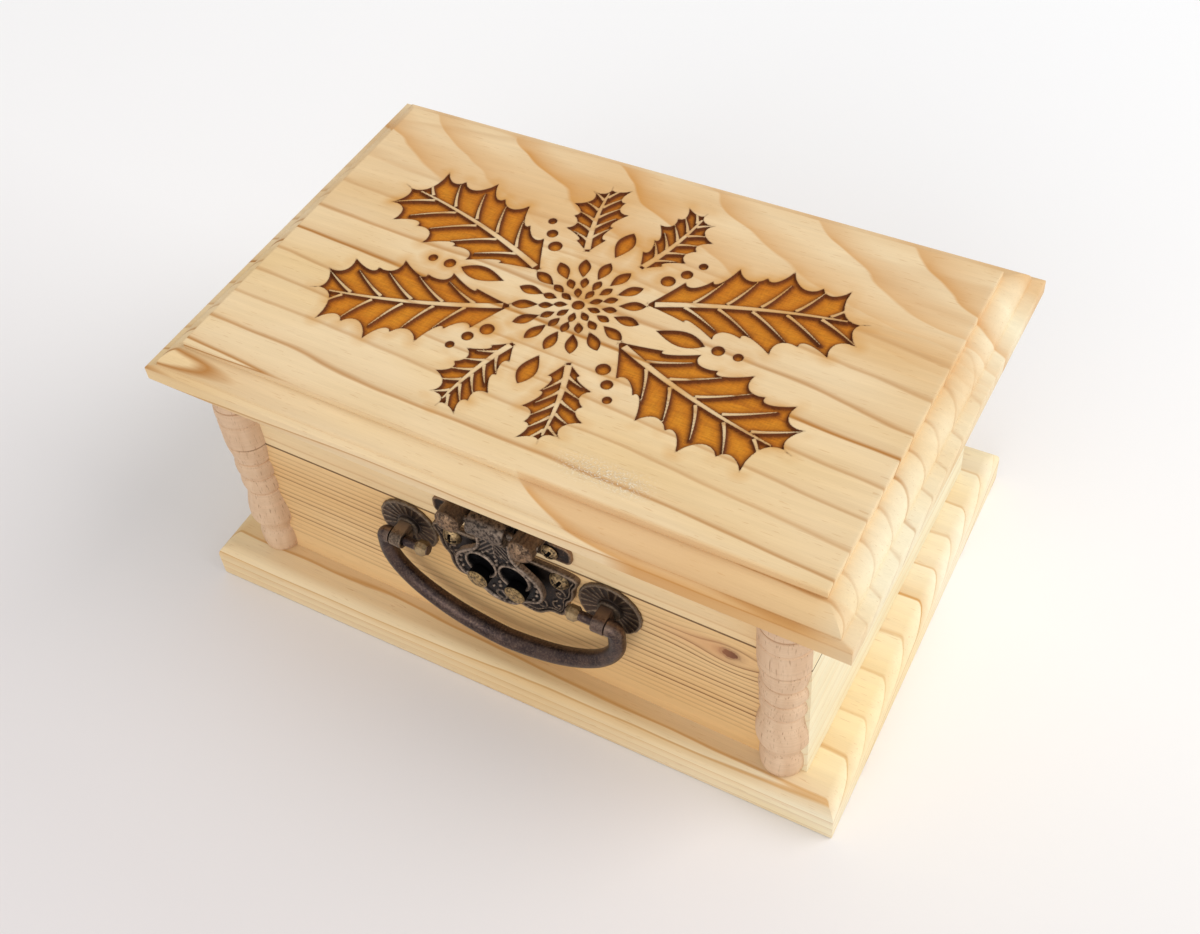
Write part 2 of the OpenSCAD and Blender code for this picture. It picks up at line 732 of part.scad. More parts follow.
module handle_post_right() {
    color("darkolivegreen") handle_post(1);
}

module handle_nuts() {
    color("gold") on_front(handle_x) mirrored_pair(post_pitch / 2)
        translate([0, -pivot_drop, -wall_t + nut_pocket - nut_h]) difference() {
            cylinder(h = nut_h, r = nut_r, $fn = 6);
            translate([0, 0, -cut]) cylinder(h = nut_h + 2 * cut, r = shank_r);
        }
}

bail_right = cut_corners([for (p = bail_half_share) [p[0] * bail_reach, p[1] * bail_drop]]);
bail_line = concat([for (i = [len(bail_right) - 1 : -1 : 1]) [-bail_right[i][0], bail_right[i][1]]], bail_right);
function bail_r(x) = bail_end_r + (bail_mid_r - bail_end_r) * (1 - pow(abs(x) / bail_reach, 2));
function unit(v) = v / norm(v);
function heading(i) = unit(bail_line[min(i + 1, len(bail_line) - 1)] - bail_line[max(i - 1, 0)]);

// Curved bar of the bail: rings of points round its centreline, joined into a closed skin
module bail_bar() {
    rings = len(bail_line);
    points = [for (i = [0 : rings - 1]) let (c = bail_line[i], t = heading(i), r = bail_r(c[0]))
        for (k = [0 : bail_sides - 1]) let (a = 360 * k / bail_sides)
            [c[0] - t[1] * r * cos(a), c[1] + t[0] * r * cos(a), r * sin(a)]];
    skin = [for (i = [0 : rings - 2]) for (k = [0 : bail_sides - 1]) let (n = (k + 1) % bail_sides)
        each [[i * bail_sides + k, (i + 1) * bail_sides + k, (i + 1) * bail_sides + n],
              [i * bail_sides + k, (i + 1) * bail_sides + n, i * bail_sides + n]]];
    first = [for (k = [0 : bail_sides - 1]) k];
    last = [for (k = [bail_sides - 1 : -1 : 0]) (rings - 1) * bail_sides + k];
    polyhedron(points, concat(skin, [first, last]), convexity = 4);
}

module at_pivot() {
    on_front(handle_x) translate([0, -pivot_drop, pivot_out]) children();
}

pin_end = post_pitch / 2 - knob_inset - knob_w / 2 - 0.3;

module bail() {
    color("slategray") at_pivot() {
        bail_bar();
        for (side = [0, 1]) mirror([side, 0, 0]) {
            translate([bail_reach, 0, 0]) sphere(bend_r);
            rod_x(bail_reach - bail_end_r, bail_reach, bail_end_r);
            rod_x(pin_end, bail_reach, bail_pin_r);
        }
    }
}

module bail_knobs() {
    color("gold") at_pivot() mirrored_pair(post_pitch / 2 - knob_inset) rotate([0, 90, 0]) rotate_extrude()
        polygon([[bail_pin_r, -knob_w / 2], [knob_r - 0.8, -knob_w / 2], [knob_r, -knob_w / 4],
                 [knob_r, knob_w / 4], [knob_r - 0.8, knob_w / 2], [bail_pin_r, knob_w / 2]]);
}

base_board();
wall_front();
wall_back();
wall_left();
wall_right();
column_lower_left();
column_lower_right();
column_upper_left();
column_upper_right();
rail_front();
rail_back();
rail_left();
rail_right();
lid_board();
hinge_leaf_case_left();
hinge_leaf_case_right();
hinge_leaf_lid_left();
hinge_leaf_lid_right();
hinge_pins();
hinge_screws_case();
hinge_screws_lid();
clasp_plate_upper();
clasp_screws_upper();
clasp_pin();
hasp();
hasp_rivets();
hasp_spring();
clasp_plate_lower();
clasp_screws_lower();
rosette_left();
rosette_right();
handle_post_left();
handle_post_right();
handle_nuts();
bail();
bail_knobs();
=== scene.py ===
"""Looks of the keepsake box: carved pine lid, pine walls, turned beech columns, antique bronze fittings."""
import json
import math

import bmesh
import bpy
import numpy as np
from mathutils import Matrix, Vector


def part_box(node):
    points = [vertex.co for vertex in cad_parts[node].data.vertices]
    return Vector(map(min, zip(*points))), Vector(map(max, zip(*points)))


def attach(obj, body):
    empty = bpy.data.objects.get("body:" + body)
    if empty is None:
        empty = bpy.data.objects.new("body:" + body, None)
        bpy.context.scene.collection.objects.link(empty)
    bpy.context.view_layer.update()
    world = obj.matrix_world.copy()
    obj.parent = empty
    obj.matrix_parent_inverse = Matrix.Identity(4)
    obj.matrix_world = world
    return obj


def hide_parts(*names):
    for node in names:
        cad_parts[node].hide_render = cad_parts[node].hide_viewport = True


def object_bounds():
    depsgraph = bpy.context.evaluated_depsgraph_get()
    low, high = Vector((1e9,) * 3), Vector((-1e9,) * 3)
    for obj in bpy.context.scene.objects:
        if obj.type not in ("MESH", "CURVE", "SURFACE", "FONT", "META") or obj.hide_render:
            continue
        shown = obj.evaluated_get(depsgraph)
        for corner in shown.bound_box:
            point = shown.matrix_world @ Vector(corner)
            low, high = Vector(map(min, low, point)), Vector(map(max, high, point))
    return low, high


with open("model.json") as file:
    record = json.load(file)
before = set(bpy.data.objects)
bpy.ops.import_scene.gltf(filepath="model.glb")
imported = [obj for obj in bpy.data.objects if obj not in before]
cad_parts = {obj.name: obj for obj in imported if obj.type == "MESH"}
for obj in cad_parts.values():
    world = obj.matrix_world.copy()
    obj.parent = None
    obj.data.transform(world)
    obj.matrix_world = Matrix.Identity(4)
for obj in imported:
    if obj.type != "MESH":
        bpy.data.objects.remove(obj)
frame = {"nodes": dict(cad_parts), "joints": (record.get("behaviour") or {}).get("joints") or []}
CAD_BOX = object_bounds()

# All lengths below are in millimetres and are turned into metres where a mesh is made
MM = 0.001
SEED = 7

# Image size, and the camera as solved from the edges of the box
IMAGE_W, IMAGE_H = 1200, 934
CAMERA_TARGET = (-40.86, 10.61, 40)
CAMERA_DISTANCE = 496.55
CAMERA_AZIMUTH, CAMERA_ELEVATION, CAMERA_ROLL = 38.0, 45.775, -9.324
FOCAL_PX = 1510.3
CENTRE_PX = (508.6, 385.0)
SENSOR = 36.0


def node_box(name):
    """Lowest and highest corner of a CAD node, in millimetres."""
    low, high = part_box(name)
    return np.array(low) / MM, np.array(high) / MM


LID_LOW, LID_HIGH = node_box("lid_board")
BASE_LOW, BASE_HIGH = node_box("base_board")
WALL_LOW, WALL_HIGH = node_box("wall_front")
RAIL_LOW, RAIL_HIGH = node_box("rail_front")
JOINTS = {j["name"]: np.array(j["pos_m"]) / MM for j in frame["joints"]}
FRONT_Y = WALL_LOW[1]
SEAM_Z = (WALL_HIGH[2] + RAIL_LOW[2]) / 2
BOARD_X = (LID_LOW[0] + LID_HIGH[0]) / 2
CLASP_X = JOINTS["hasp_hinge"][0]
HANDLE_X = JOINTS["bail_swing"][0]
BODY_HALF = node_box("wall_right")[1][0]
WALL_T = WALL_HIGH[1] - WALL_LOW[1]


def srgb(red, green, blue):
    """Linear colour with full alpha from 0 to 255 display values."""
    def linear(value):
        value /= 255
        return value / 12.92 if value <= 0.04045 else ((value + 0.055) / 1.055) ** 2.4
    return (linear(red), linear(green), linear(blue), 1.0)


class Graph:
    """Short way to write down a material's nodes."""

    def __init__(self, name):
        self.material = bpy.data.materials.new(name)
        self.material.use_nodes = True
        self.tree = self.material.node_tree
        self.tree.nodes.clear()

    def feed(self, socket, value):
        if isinstance(value, bpy.types.NodeSocket):
            self.tree.links.new(value, socket)
        else:
            socket.default_value = value

    def node(self, kind, inputs=None, **settings):
        made = self.tree.nodes.new("ShaderNode" + kind)
        for key, value in settings.items():
            setattr(made, key, value)
        for key, value in (inputs or {}).items():
            self.feed(made.inputs[key], value)
        return made

    def math(self, operation, *values, clamp=False):
        made = self.node("Math", operation=operation, use_clamp=clamp)
        for socket, value in zip(made.inputs, values):
            self.feed(socket, value)
        return made.outputs[0]

    def times(self, *values, clamp=False):
        return self.math("MULTIPLY", *values, clamp=clamp)

    def plus(self, *values):
        return self.math("ADD", *values)

    def minus(self, *values):
        return self.math("SUBTRACT", *values)

    def over(self, *values):
        return self.math("DIVIDE", *values)

    def line(self, value, slope, start, clamp=False):
        """The value times slope, plus start."""
        return self.math("MULTIPLY_ADD", value, slope, start, clamp=clamp)

    def decay(self, value, slope=-1.0):
        """Falls from 1 towards 0 as the value grows."""
        return self.math("EXPONENT", self.times(value, slope))

    def position(self, scale=(1, 1, 1), offset=(0, 0, 0)):
        """The point on the object in millimetres, moved by offset and then stretched by scale."""
        coords = self.node("TexCoord").outputs["Object"]
        size = tuple(s / MM for s in scale)
        shift = tuple(o * s for o, s in zip(offset, scale))
        return self.node("Mapping", {"Vector": coords, "Scale": size, "Location": shift}).outputs[0]

    def noise(self, vector, detail=2.0, roughness=0.5):
        inputs = {"Vector": vector, "Scale": 1.0, "Detail": detail, "Roughness": roughness}
        return self.node("TexNoise", inputs).outputs["Fac"]

    def ramp(self, fac, stops):
        """Value or colour by stops of (place from 0 to 1, value or colour)."""
        made = self.node("ValToRGB", {"Fac": fac})
        elements = made.color_ramp.elements
        while len(elements) < len(stops):
            elements.new(0.5)
        for element, (place, value) in zip(elements, stops):
            element.position = place
            element.color = value if isinstance(value, tuple) else (value, value, value, 1)
        return made.outputs["Color"]

    def mix(self, fac, a, b, blend="MIX"):
        made = self.node("Mix", data_type="RGBA", blend_type=blend)
        for index, value in ((0, fac), (6, a), (7, b)):
            self.feed(made.inputs[index], value)
        return made.outputs[2]

    def finish(self, colour, roughness, height, bump_mm, **constants):
        bump = self.node("Bump", {"Height": height, "Strength": 1.0, "Distance": bump_mm * MM})
        inputs = {"Base Color": colour, "Roughness": roughness, "Normal": bump.outputs[0]}
        inputs.update(constants)
        shader = self.node("BsdfPrincipled", inputs)
        output = self.node("OutputMaterial")
        self.tree.links.new(shader.outputs[0], output.inputs["Surface"])
        return self.material


# Which axes run along the grain, across the board's face and through its thickness
GRAIN_X_FLAT = "XYZ"
GRAIN_X_UPRIGHT = "XZY"
GRAIN_Y_UPRIGHT = "YZX"


# How dark a growth ring is from its early to its late wood
THIN_RING = [(0.0, 0.0), (0.5, 0.03), (0.82, 0.22), (0.93, 1.0), (0.955, 0.8), (1.0, 0.0)]
LINE_RING = [(0.0, 0.0), (0.45, 0.08), (0.74, 0.45), (0.86, 1.0), (0.9, 0.8), (1.0, 0.0)]
BAND_RING = [(0.0, 0.0), (0.4, 0.12), (0.88, 0.42), (0.935, 1.0), (0.96, 0.8), (0.985, 0.0)]


def window(g, axis, stops):
    """Value by stops of (place along an axis in mm, value), held beyond the ends."""
    low, high = stops[0][0], stops[-1][0]
    place = g.node("SeparateXYZ", {0: g.position()}).outputs[axis]
    share = g.line(place, 1 / (high - low), -low / (high - low), clamp=True)
    return g.ramp(share, [((at - low) / (high - low), value) for at, value in stops])


def stretched(g, axes, along, across, offset):
    """The point for a pattern that is drawn out along the grain."""
    return g.position(tuple(along if a == axes[0] else across for a in "XYZ"), offset)


def pine_layers(g, axes, apex, pitch, depth_pitch, wander, seed, round_mm=12.0, drift=0.0,
                ring_shape=THIN_RING, knot=None):
    """Growth rings as a solid pattern: returns how dark the late wood is, and a number for each ring."""
    split = g.node("SeparateXYZ", {0: g.position()})
    along, across, through = (split.outputs["XYZ".index(a)] for a in axes)
    if knot:
        across = round_knot(g, along, across, *knot)
    slow = g.noise(stretched(g, axes, 0.006, 0.022, (seed, seed, seed)), 1.5)
    bend = g.line(slow, 2 * wander, -wander - apex)
    v = g.plus(across, bend)
    roof = g.math("SQRT", g.line(v, v, round_mm ** 2))
    f = g.over(roof, pitch)
    f = g.plus(f, g.over(through, depth_pitch))
    f = g.line(along, drift, f)
    ripple = g.noise(stretched(g, axes, 0.02, 0.12, (seed, 3.0, seed)), 2.0)
    f = g.line(ripple, 0.3, f)
    ring = g.math("FLOOR", f)
    random = g.node("TexWhiteNoise", {"W": g.plus(ring, seed)}, noise_dimensions="1D").outputs["Value"]
    return g.ramp(g.math("FRACT", f), ring_shape), random


def round_knot(g, along, across, knot_along, knot_across, reach):
    """Opens the rings round a knot: they bend aside to let it through."""
    da = g.over(g.minus(along, knot_along), reach * 1.6)
    dc = g.minus(across, knot_across)
    near = g.over(dc, reach)
    away = g.line(da, da, g.times(near, near))
    hold = g.minus(1.0, g.decay(away))
    return g.line(dc, hold, knot_across)


# The shaded line at the seam: how deep it goes, how dark it is, and half its width with and without its fade
SEAM_DEPTH, SEAM_SHADE = 0.3, 0.8
SEAM_DARK, SEAM_FADE = 0.3, 0.55


def seam_shade(g):
    """The dark line round the box where lid and case meet, on the outer faces alone."""
    def skin_of(axis, half):
        inside = half - SEAM_DEPTH
        return window(g, axis, [(-half, 1.0), (-inside, 0.0), (inside, 0.0), (half, 1.0)])

    outer = g.math("MAXIMUM", skin_of("X", BODY_HALF), skin_of("Y", -FRONT_Y))
    return g.times(outer, window(g, "Z", [(SEAM_Z - SEAM_FADE, 0.0), (SEAM_Z - SEAM_DARK, SEAM_SHADE),
                                          (SEAM_Z + SEAM_DARK, SEAM_SHADE), (SEAM_Z + SEAM_FADE, 0.0)]))


def pine_colour(g, axes, early, late_colour, strength, warm, seed, mask=None, **layers):
    """Colour and height of bare pine."""
    late, random = pine_layers(g, axes, seed=seed, **layers)
    coarse = g.noise(stretched(g, axes, 0.02, 0.5, (seed, 0, 0)), 3)
    fine = g.noise(stretched(g, axes, 0.08, 4.0, (0, seed, 0)), 2)
    uneven = g.line(random, 0.9 * strength, 0.25 * strength)
    amount = g.times(late, uneven, clamp=True)
    if mask:
        amount = g.times(amount, mask)
    blotch = g.ramp(g.noise(g.position((0.012, 0.03, 0.03), (seed, 5, 2)), 2), [(0.40, 0.0), (0.66, 1.0)])
    ground = g.mix(g.times(blotch, 0.7), early, warm)
    colour = g.mix(amount, ground, late_colour)
    streak = g.ramp(coarse, [(0.3, 0.96), (0.7, 1.03)])
    colour = g.mix(1.0, colour, streak, "MULTIPLY")
    hair = g.ramp(fine, [(0.3, 0.965), (0.62, 1.015)])
    colour = g.mix(1.0, colour, hair, "MULTIPLY")
    pores = g.noise(stretched(g, axes, 0.25, 3.0, (9, seed, 4)), 0)
    dash = g.ramp(pores, [(0.76, 0.0), (0.80, 0.35)])
    colour = g.mix(dash, colour, srgb(196, 150, 100))
    colour = g.mix(seam_shade(g), colour, srgb(96, 62, 36))
    height = g.line(fine, 0.5, g.times(amount, 0.6))
    return colour, height


WOOD_ROUGHNESS = 0.62
DULL = {"Specular IOR Level": 0.25}


def bare_wood(g, colour, height):
    return g.finish(colour, WOOD_ROUGHNESS, height, 0.07, **DULL)


def pine(name, axes, early, late, warm, strength=0.8, **layers):
    g = Graph(name)
    colour, height = pine_colour(g, axes, srgb(*early), srgb(*late), strength, srgb(*warm), **layers)
    return bare_wood(g, colour, height)


def base_pine(name):
    """Base board with broad golden bands, paler towards its right end: a painted highlight where the lamp
    falls.
    """
    g = Graph(name)
    # Painted highlight: early and warm wood paler towards the right end
    right = window(g, "X", [(40, 0.0), (110, 1.0)])
    early = g.mix(right, srgb(236, 212, 170), srgb(243, 234, 208))
    warm = g.mix(right, srgb(230, 198, 146), srgb(244, 222, 170))
    colour, height = pine_colour(g, GRAIN_X_FLAT, early, srgb(200, 146, 74), 1.0, warm, seed=11.0, apex=160.0,
                                 pitch=14.0, depth_pitch=3.6, wander=5.0, ring_shape=BAND_RING)
    return bare_wood(g, colour, height)


# The front wall's knot: its place along and up the wall, and how far it pushes the rings aside
KNOT = (73.0, 56.0, 7.0)
KNOT_R = 5.5
KNOT_SHAPE = [(0.0, 1.0), (0.38, 1.0), (0.46, 0.45), (0.52, 0.55), (0.62, 0.2), (0.9, 0.0)]


def knotty_pine(name):
    """Front wall: fine lines on the left, more on the right that bend round a small knot."""
    g = Graph(name)
    rows = window(g, "Z", [(20, 0.0), (26, 1.0), (59, 1.0), (63, 0.0)])
    ends = window(g, "X", [(-90, 0.7), (-42, 0.9), (-34, 0.45), (36, 0.5), (50, 1.0)])
    mask = g.times(rows, ends)
    colour, height = pine_colour(g, GRAIN_X_UPRIGHT, srgb(231, 193, 138), srgb(130, 84, 44), 1.25,
                                 srgb(222, 176, 114), seed=21.0, apex=140.0, pitch=2.3, depth_pitch=6.0,
                                 wander=2.5, ring_shape=LINE_RING, mask=mask, knot=KNOT)
    split = g.node("SeparateXYZ", {0: g.position()})
    right = g.over(g.minus(split.outputs["X"], KNOT[0]), 1.35)
    up = g.minus(split.outputs["Z"], KNOT[1])
    away = g.math("SQRT", g.line(right, right, g.times(up, up)))
    away = g.line(g.noise(g.position((0.8, 0.8, 0.8)), 2), 1.4, away)
    heart = g.ramp(g.over(away, KNOT_R), KNOT_SHAPE)
    colour = g.mix(heart, colour, srgb(68, 36, 26))
    tail = g.times(window(g, "X", [(48, 0.0), (70, 0.5), (76, 0.2), (84, 0.0)]),
                  window(g, "Z", [(50, 0.0), (55, 1.0), (57, 1.0), (61, 0.0)]))
    colour = g.mix(tail, colour, srgb(196, 128, 84))
    return bare_wood(g, colour, height)


# Where the lid's amber bands start at its back edge, and how strong each is
SWEEPS = [(-118, 0.8), (-92, 0.6), (-60, 1.0), (-24, 0.9), (10, 0.7), (44, 0.75), (72, 0.85)]


def sweeps(g):
    """Amber bands that start near the back edge, curve down to the right and fade along the grain."""
    split = g.node("SeparateXYZ", {0: g.position()})
    ripple = g.noise(g.position((0.02, 0.05, 0.05), (3, 8, 1)), 2)
    y = g.line(ripple, 14.0, g.minus(split.outputs["Y"], 7.0))
    total = None
    for start, strength in SWEEPS:
        run = g.over(g.minus(split.outputs["X"], float(start)), 100.0)
        fall = g.decay(g.math("MAXIMUM", run, 0.0), -2.6)
        low = g.line(fall, 38.0, g.times(run, -6.0))
        above = g.over(g.minus(g.minus(y, 24.0), low), 16.0)
        band = g.ramp(above, [(0.0, 0.0), (0.06, 0.9), (0.3, 0.5), (0.8, 0.0)])
        fade = [(0.0, 0.0), (0.07, 0.2), (0.14, strength), (0.5, 0.4 * strength), (1.0, 0.1 * strength)]
        ends = g.ramp(g.line(run, 0.5, 0.1), fade)
        band = g.times(band, ends)
        total = band if total is None else g.math("MAXIMUM", total, band)
    return total


def tongue(g):
    """An amber tongue on the front moulding, which starts in a point and widens to the right."""
    split = g.node("SeparateXYZ", {0: g.position()})
    run = g.over(g.minus(split.outputs["X"], 14.0), 13.0)
    low = g.line(g.decay(run), 9.0, LID_LOW[1] - 1.0)
    above = g.over(g.minus(split.outputs["Y"], low), 10.0)
    band = g.ramp(above, [(0.0, 0.0), (0.05, 0.75), (0.25, 0.42), (1.0, 0.34)])
    along = window(g, "X", [(12, 0.0), (18, 1.0), (66, 1.0), (104, 0.5)])
    step = LID_LOW[1] + FIELD_INSET[1]
    moulding = window(g, "Y", [(step + 0.2, 1.0), (step + 1.2, 0.0)])
    return g.times(g.times(band, along), moulding)


def glint_spot(g):
    """A rough spot near the front edge, with its sparkle painted in as whitish glints."""
    speck_noise = g.noise(g.position((1.4, 2.6, 1), (6, 2, 1)), 3)
    glint_mask = g.times(window(g, "X", [(18, 0.0), (28, 1.0), (42, 1.0), (50, 0.0)]),
                    window(g, "Y", [(-58, 0.0), (-54, 1.0), (-51, 1.0), (-47, 0.0)]))
    return g.times(glint_mask, g.ramp(speck_noise, [(0.5, 0.0), (0.64, 0.55)]))


def burnt_carving(g, colour):
    """Adds the carving's scorched halo and browns, and returns how burnt and how rough each place is too."""
    reach = g.over(g.node("Attribute", attribute_name="carve").outputs["Fac"], CARVE_REACH)
    inward = g.line(reach, 0.5, 0.5)
    mottle = g.noise(g.position((0.05, 0.09, 0.09), (4, 4, 4)), 3)
    halo = g.times(g.ramp(inward, [(0.0, 0.0), (0.5, 0.75)]), g.ramp(mottle, [(0.42, 0.0), (0.66, 1.0)]))
    colour = g.mix(halo, colour, srgb(206, 146, 62))
    depth = g.plus(inward, g.line(mottle, 0.10, -0.05))
    browns = g.ramp(depth, [(0.48, srgb(82, 40, 12)), (0.54, srgb(112, 60, 16)), (0.6, srgb(162, 98, 22)),
                            (0.72, srgb(198, 126, 28)), (1.0, srgb(208, 140, 36))])
    warp = g.noise(g.position((0.35, 2.2, 1), (1, 1, 1)), 2)
    weft = g.noise(g.position((2.2, 0.3, 1), (2, 5, 1)), 2)
    scan = g.plus(warp, g.times(weft, 0.5))
    browns = g.mix(1.0, browns, g.ramp(scan, [(0.5, 0.82), (1.0, 1.14)]), "MULTIPLY")
    shade = g.mix(0.5, (1, 1, 1, 1), g.mix(1.0, colour, (1.3, 1.5, 2.0, 1), "MULTIPLY"))
    browns = g.mix(1.0, browns, shade, "MULTIPLY")
    burnt = g.ramp(inward, [(0.0, 0.0), (0.45, 0.0), (0.497, 0.25), (0.505, 1.0), (1.0, 1.0)])
    return g.mix(burnt, colour, browns), burnt, g.times(g.times(scan, burnt), 1.6)


def carved_pine(name):
    """Lid board: amber sweeps and late wood, a rough spot with painted glints, a painted highlight on its
    right end, and the browns of the burnt carving.
    """
    g = Graph(name)
    back = window(g, "Y", [(-20, 0.0), (50, 1.0)])
    end = g.times(window(g, "X", [(94, 0.0), (102, 0.5)]),
                 window(g, "Z", [(LID_HIGH[2] - 3, 1.0), (LID_HIGH[2] - 1, 0.0)]))
    mask = g.times(g.minus(1.0, end), window(g, "Y", [(8, 1.0), (36, 0.3)]))
    warm = g.mix(back, srgb(228, 194, 138), srgb(214, 164, 100))
    # Painted highlight: paler early wood on the lid's right end, where the lamp falls on the moulding
    early = g.mix(window(g, "X", [(97, 0.0), (106, 1.0)]), srgb(236, 209, 166), srgb(240, 227, 194))
    colour, height = pine_colour(g, GRAIN_X_FLAT, early, srgb(180, 122, 58), 1.15, warm, seed=2.0, mask=mask,
                                 apex=46.0, round_mm=20.0, pitch=10.5, depth_pitch=5.5, drift=-0.005,
                                 wander=9.0)
    colour = g.mix(g.math("MAXIMUM", sweeps(g), tongue(g)), colour, srgb(204, 140, 60))
    # Painted glints: the rough spot's whitish specks, which also raise the surface a little
    glint_mask = glint_spot(g)
    colour = g.mix(glint_mask, colour, srgb(250, 240, 218))
    colour, burnt, scan = burnt_carving(g, colour)
    rough = g.ramp(burnt, [(0.0, 0.6), (1.0, 0.8)])
    height = g.line(glint_mask, 2.0, g.plus(height, scan))
    return g.finish(colour, rough, height, 0.09, **DULL)


def beech(name):
    """Pinkish turned wood with short dark flecks along its grain and faint tool rings."""
    g = Graph(name)
    grain = g.noise(g.position((0.35, 0.35, 0.05)), 3)
    flecks = g.noise(g.position((2.6, 2.6, 0.22), (3, 1, 7)), 1)
    rings = g.noise(g.position((0.02, 0.02, 2.0), (1, 2, 3)), 2)
    colour = g.mix(grain, srgb(229, 199, 166), srgb(202, 165, 130))
    dash = g.ramp(flecks, [(0.62, 0.0), (0.74, 0.55)])
    colour = g.mix(dash, colour, srgb(146, 104, 76))
    colour = g.mix(1.0, colour, g.ramp(rings, [(0.3, 0.95), (0.7, 1.04)]), "MULTIPLY")
    height = g.plus(g.times(flecks, 0.5), rings)
    return g.finish(colour, WOOD_ROUGHNESS, height, 0.08, **DULL)


METALLIC = 0.85


def metal(name, dark, mid, worn, rough=(0.34, 0.6), pits=0.6, specks=0.5, seed=0.0):
    """Plated metal in dark and brown clouds; marks above zero make it bright, as wear and painted highlights,
    and below zero near black, as patina and painted shade.
    """
    g = Graph(name)
    cloud = g.noise(g.position((0.22, 0.22, 0.22), (seed, 2, 5)), 4, 0.6)
    grit = g.noise(g.position((1.6, 1.6, 1.6), (seed, 1, 1)), 3, 0.65)
    colour = g.mix(g.ramp(cloud, [(0.38, 0.0), (0.66, 1.0)]), srgb(*dark), srgb(*mid))
    uneven = g.line(grit, 0.12, -0.06)
    edge = g.plus(g.node("NewGeometry").outputs["Pointiness"], uneven)
    # Rubbed colour on convex edges and where marked above zero: wear, and on some fittings painted highlights
    rub_and_highlight = g.ramp(edge, [(0.51, 0.0), (0.57, 0.9)])
    marked = g.node("Attribute", attribute_name="worn").outputs["Fac"]
    broken = g.ramp(g.noise(g.position((1.1, 1.1, 1.1), (seed, 4, 1)), 3, 0.6), [(0.38, 0.12), (0.58, 1.0)])
    rub_and_highlight = g.math("MAXIMUM", rub_and_highlight, g.times(marked, broken, clamp=True))
    colour = g.mix(rub_and_highlight, colour, srgb(*worn))
    # Near black where marked below zero: patina in some hollows, painted shade and shadow elsewhere
    patina_and_shade = g.times(marked, -1.0, clamp=True)
    colour = g.mix(patina_and_shade, colour, srgb(8, 7, 8))
    speck = g.times(g.ramp(grit, [(0.62, 0.0), (0.75, specks)]), g.minus(1.0, patina_and_shade))
    colour = g.mix(speck, colour, srgb(*worn))
    gloss = g.ramp(g.plus(cloud, g.times(grit, 0.3)), [(0.4, rough[0]), (0.9, rough[1])])
    shine = g.line(patina_and_shade, -METALLIC, METALLIC)
    gleam = g.line(patina_and_shade, -0.48, 0.5)
    return g.finish(colour, gloss, g.plus(cloud, grit), 0.12 * pits, Metallic=shine,
                    **{"Specular IOR Level": gleam})


def smooth(obj, angle=35):
    for polygon in obj.data.polygons:
        polygon.use_smooth = True
    obj.data.set_sharp_from_angle(angle=math.radians(angle))


def mark(obj, attribute, values):
    """Stores a number at each point of a piece, for its material."""
    layer = obj.data.attributes.new(attribute, "FLOAT", "POINT")
    layer.data.foreach_set("value", np.asarray(values, np.float32))


def soft_step(value, low, high):
    t = np.clip((value - low) / (high - low), 0, 1)
    return t * t * (3 - 2 * t)


def mesh_piece(name, points, faces, material, body, node, angle=35):
    """New piece from points in millimetres: it rides on a body and stands for a CAD node."""
    data = bpy.data.meshes.new(name)
    data.from_pydata([tuple(p) for p in np.asarray(points, float) * MM], [], faces)
    data.validate()
    obj = bpy.data.objects.new(name, data)
    bpy.context.scene.collection.objects.link(obj)
    data.materials.append(material)
    smooth(obj, angle)
    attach(obj, body)
    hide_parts(node)
    return obj


def soften(obj, width):
    """Rounds the edges of a piece."""
    rounding = obj.modifiers.new("edges", "BEVEL")
    rounding.width = width * MM
    rounding.segments = 3
    rounding.limit_method = "ANGLE"
    rounding.angle_limit = math.radians(40)


def dress(node, material, bevel=0.0):
    """Gives a CAD node its material, and softens its edges."""
    obj = frame["nodes"][node]
    obj.data.materials.clear()
    obj.data.materials.append(material)
    if bevel:
        weld = obj.modifiers.new("weld", "WELD")
        weld.merge_threshold = 0.01 * MM
        soften(obj, bevel)


# Boards with a worked edge

LID_ARRIS = 0.6
LID_EDGE_H = 5.4
# Insets from the short and the long edges
LEDGE = (3.6, 1.9)
FIELD_INSET = (10.0, 8.7)
LEDGE_RISE = 0.6
FIELD_STEP = 2.2
FIELD_RIM = 0.3
BASE_ROUND = 4.0
# Degrees that the base board sits askew under the walls
BASE_TURN = 1.2
ARC_STEPS = 10


def lid_rings():
    """Insets from the short and long edges, with heights, from the underside to the raised field."""
    low, high = LID_LOW[2], LID_HIGH[2]
    foot = low + LID_EDGE_H + LEDGE_RISE
    rings = [((0.6, 0.6), low), ((0.2, 0.2), low + 0.2), ((0.0, 0.0), low + LID_ARRIS)]
    rings += [((0.0, 0.0), low + LID_EDGE_H - 0.5), ((0.12, 0.12), low + LID_EDGE_H - 0.15),
              ((0.5, 0.5), low + LID_EDGE_H + 0.05), (LEDGE, foot)]
    rise = high - FIELD_STEP - foot
    for i in range(1, ARC_STEPS + 1):
        turn = math.radians(90 * i / ARC_STEPS)
        inset = tuple(l + (f - l) * (1 - math.cos(turn)) for l, f in zip(LEDGE, FIELD_INSET))
        rings.append((inset, foot + rise * math.sin(turn)))
    rings.append((FIELD_INSET, high - 0.25))
    rings.append((tuple(f + 0.08 for f in FIELD_INSET), high - 0.07))
    return rings


def perimeter(xs, ys):
    """Grid places round the border of a grid, counter-clockwise."""
    nx, ny = len(xs), len(ys)
    border = [(i, 0) for i in range(nx - 1)] + [(nx - 1, j) for j in range(ny - 1)]
    border += [(i, ny - 1) for i in range(nx - 1, 0, -1)] + [(0, j) for j in range(ny - 1, 0, -1)]
    return border


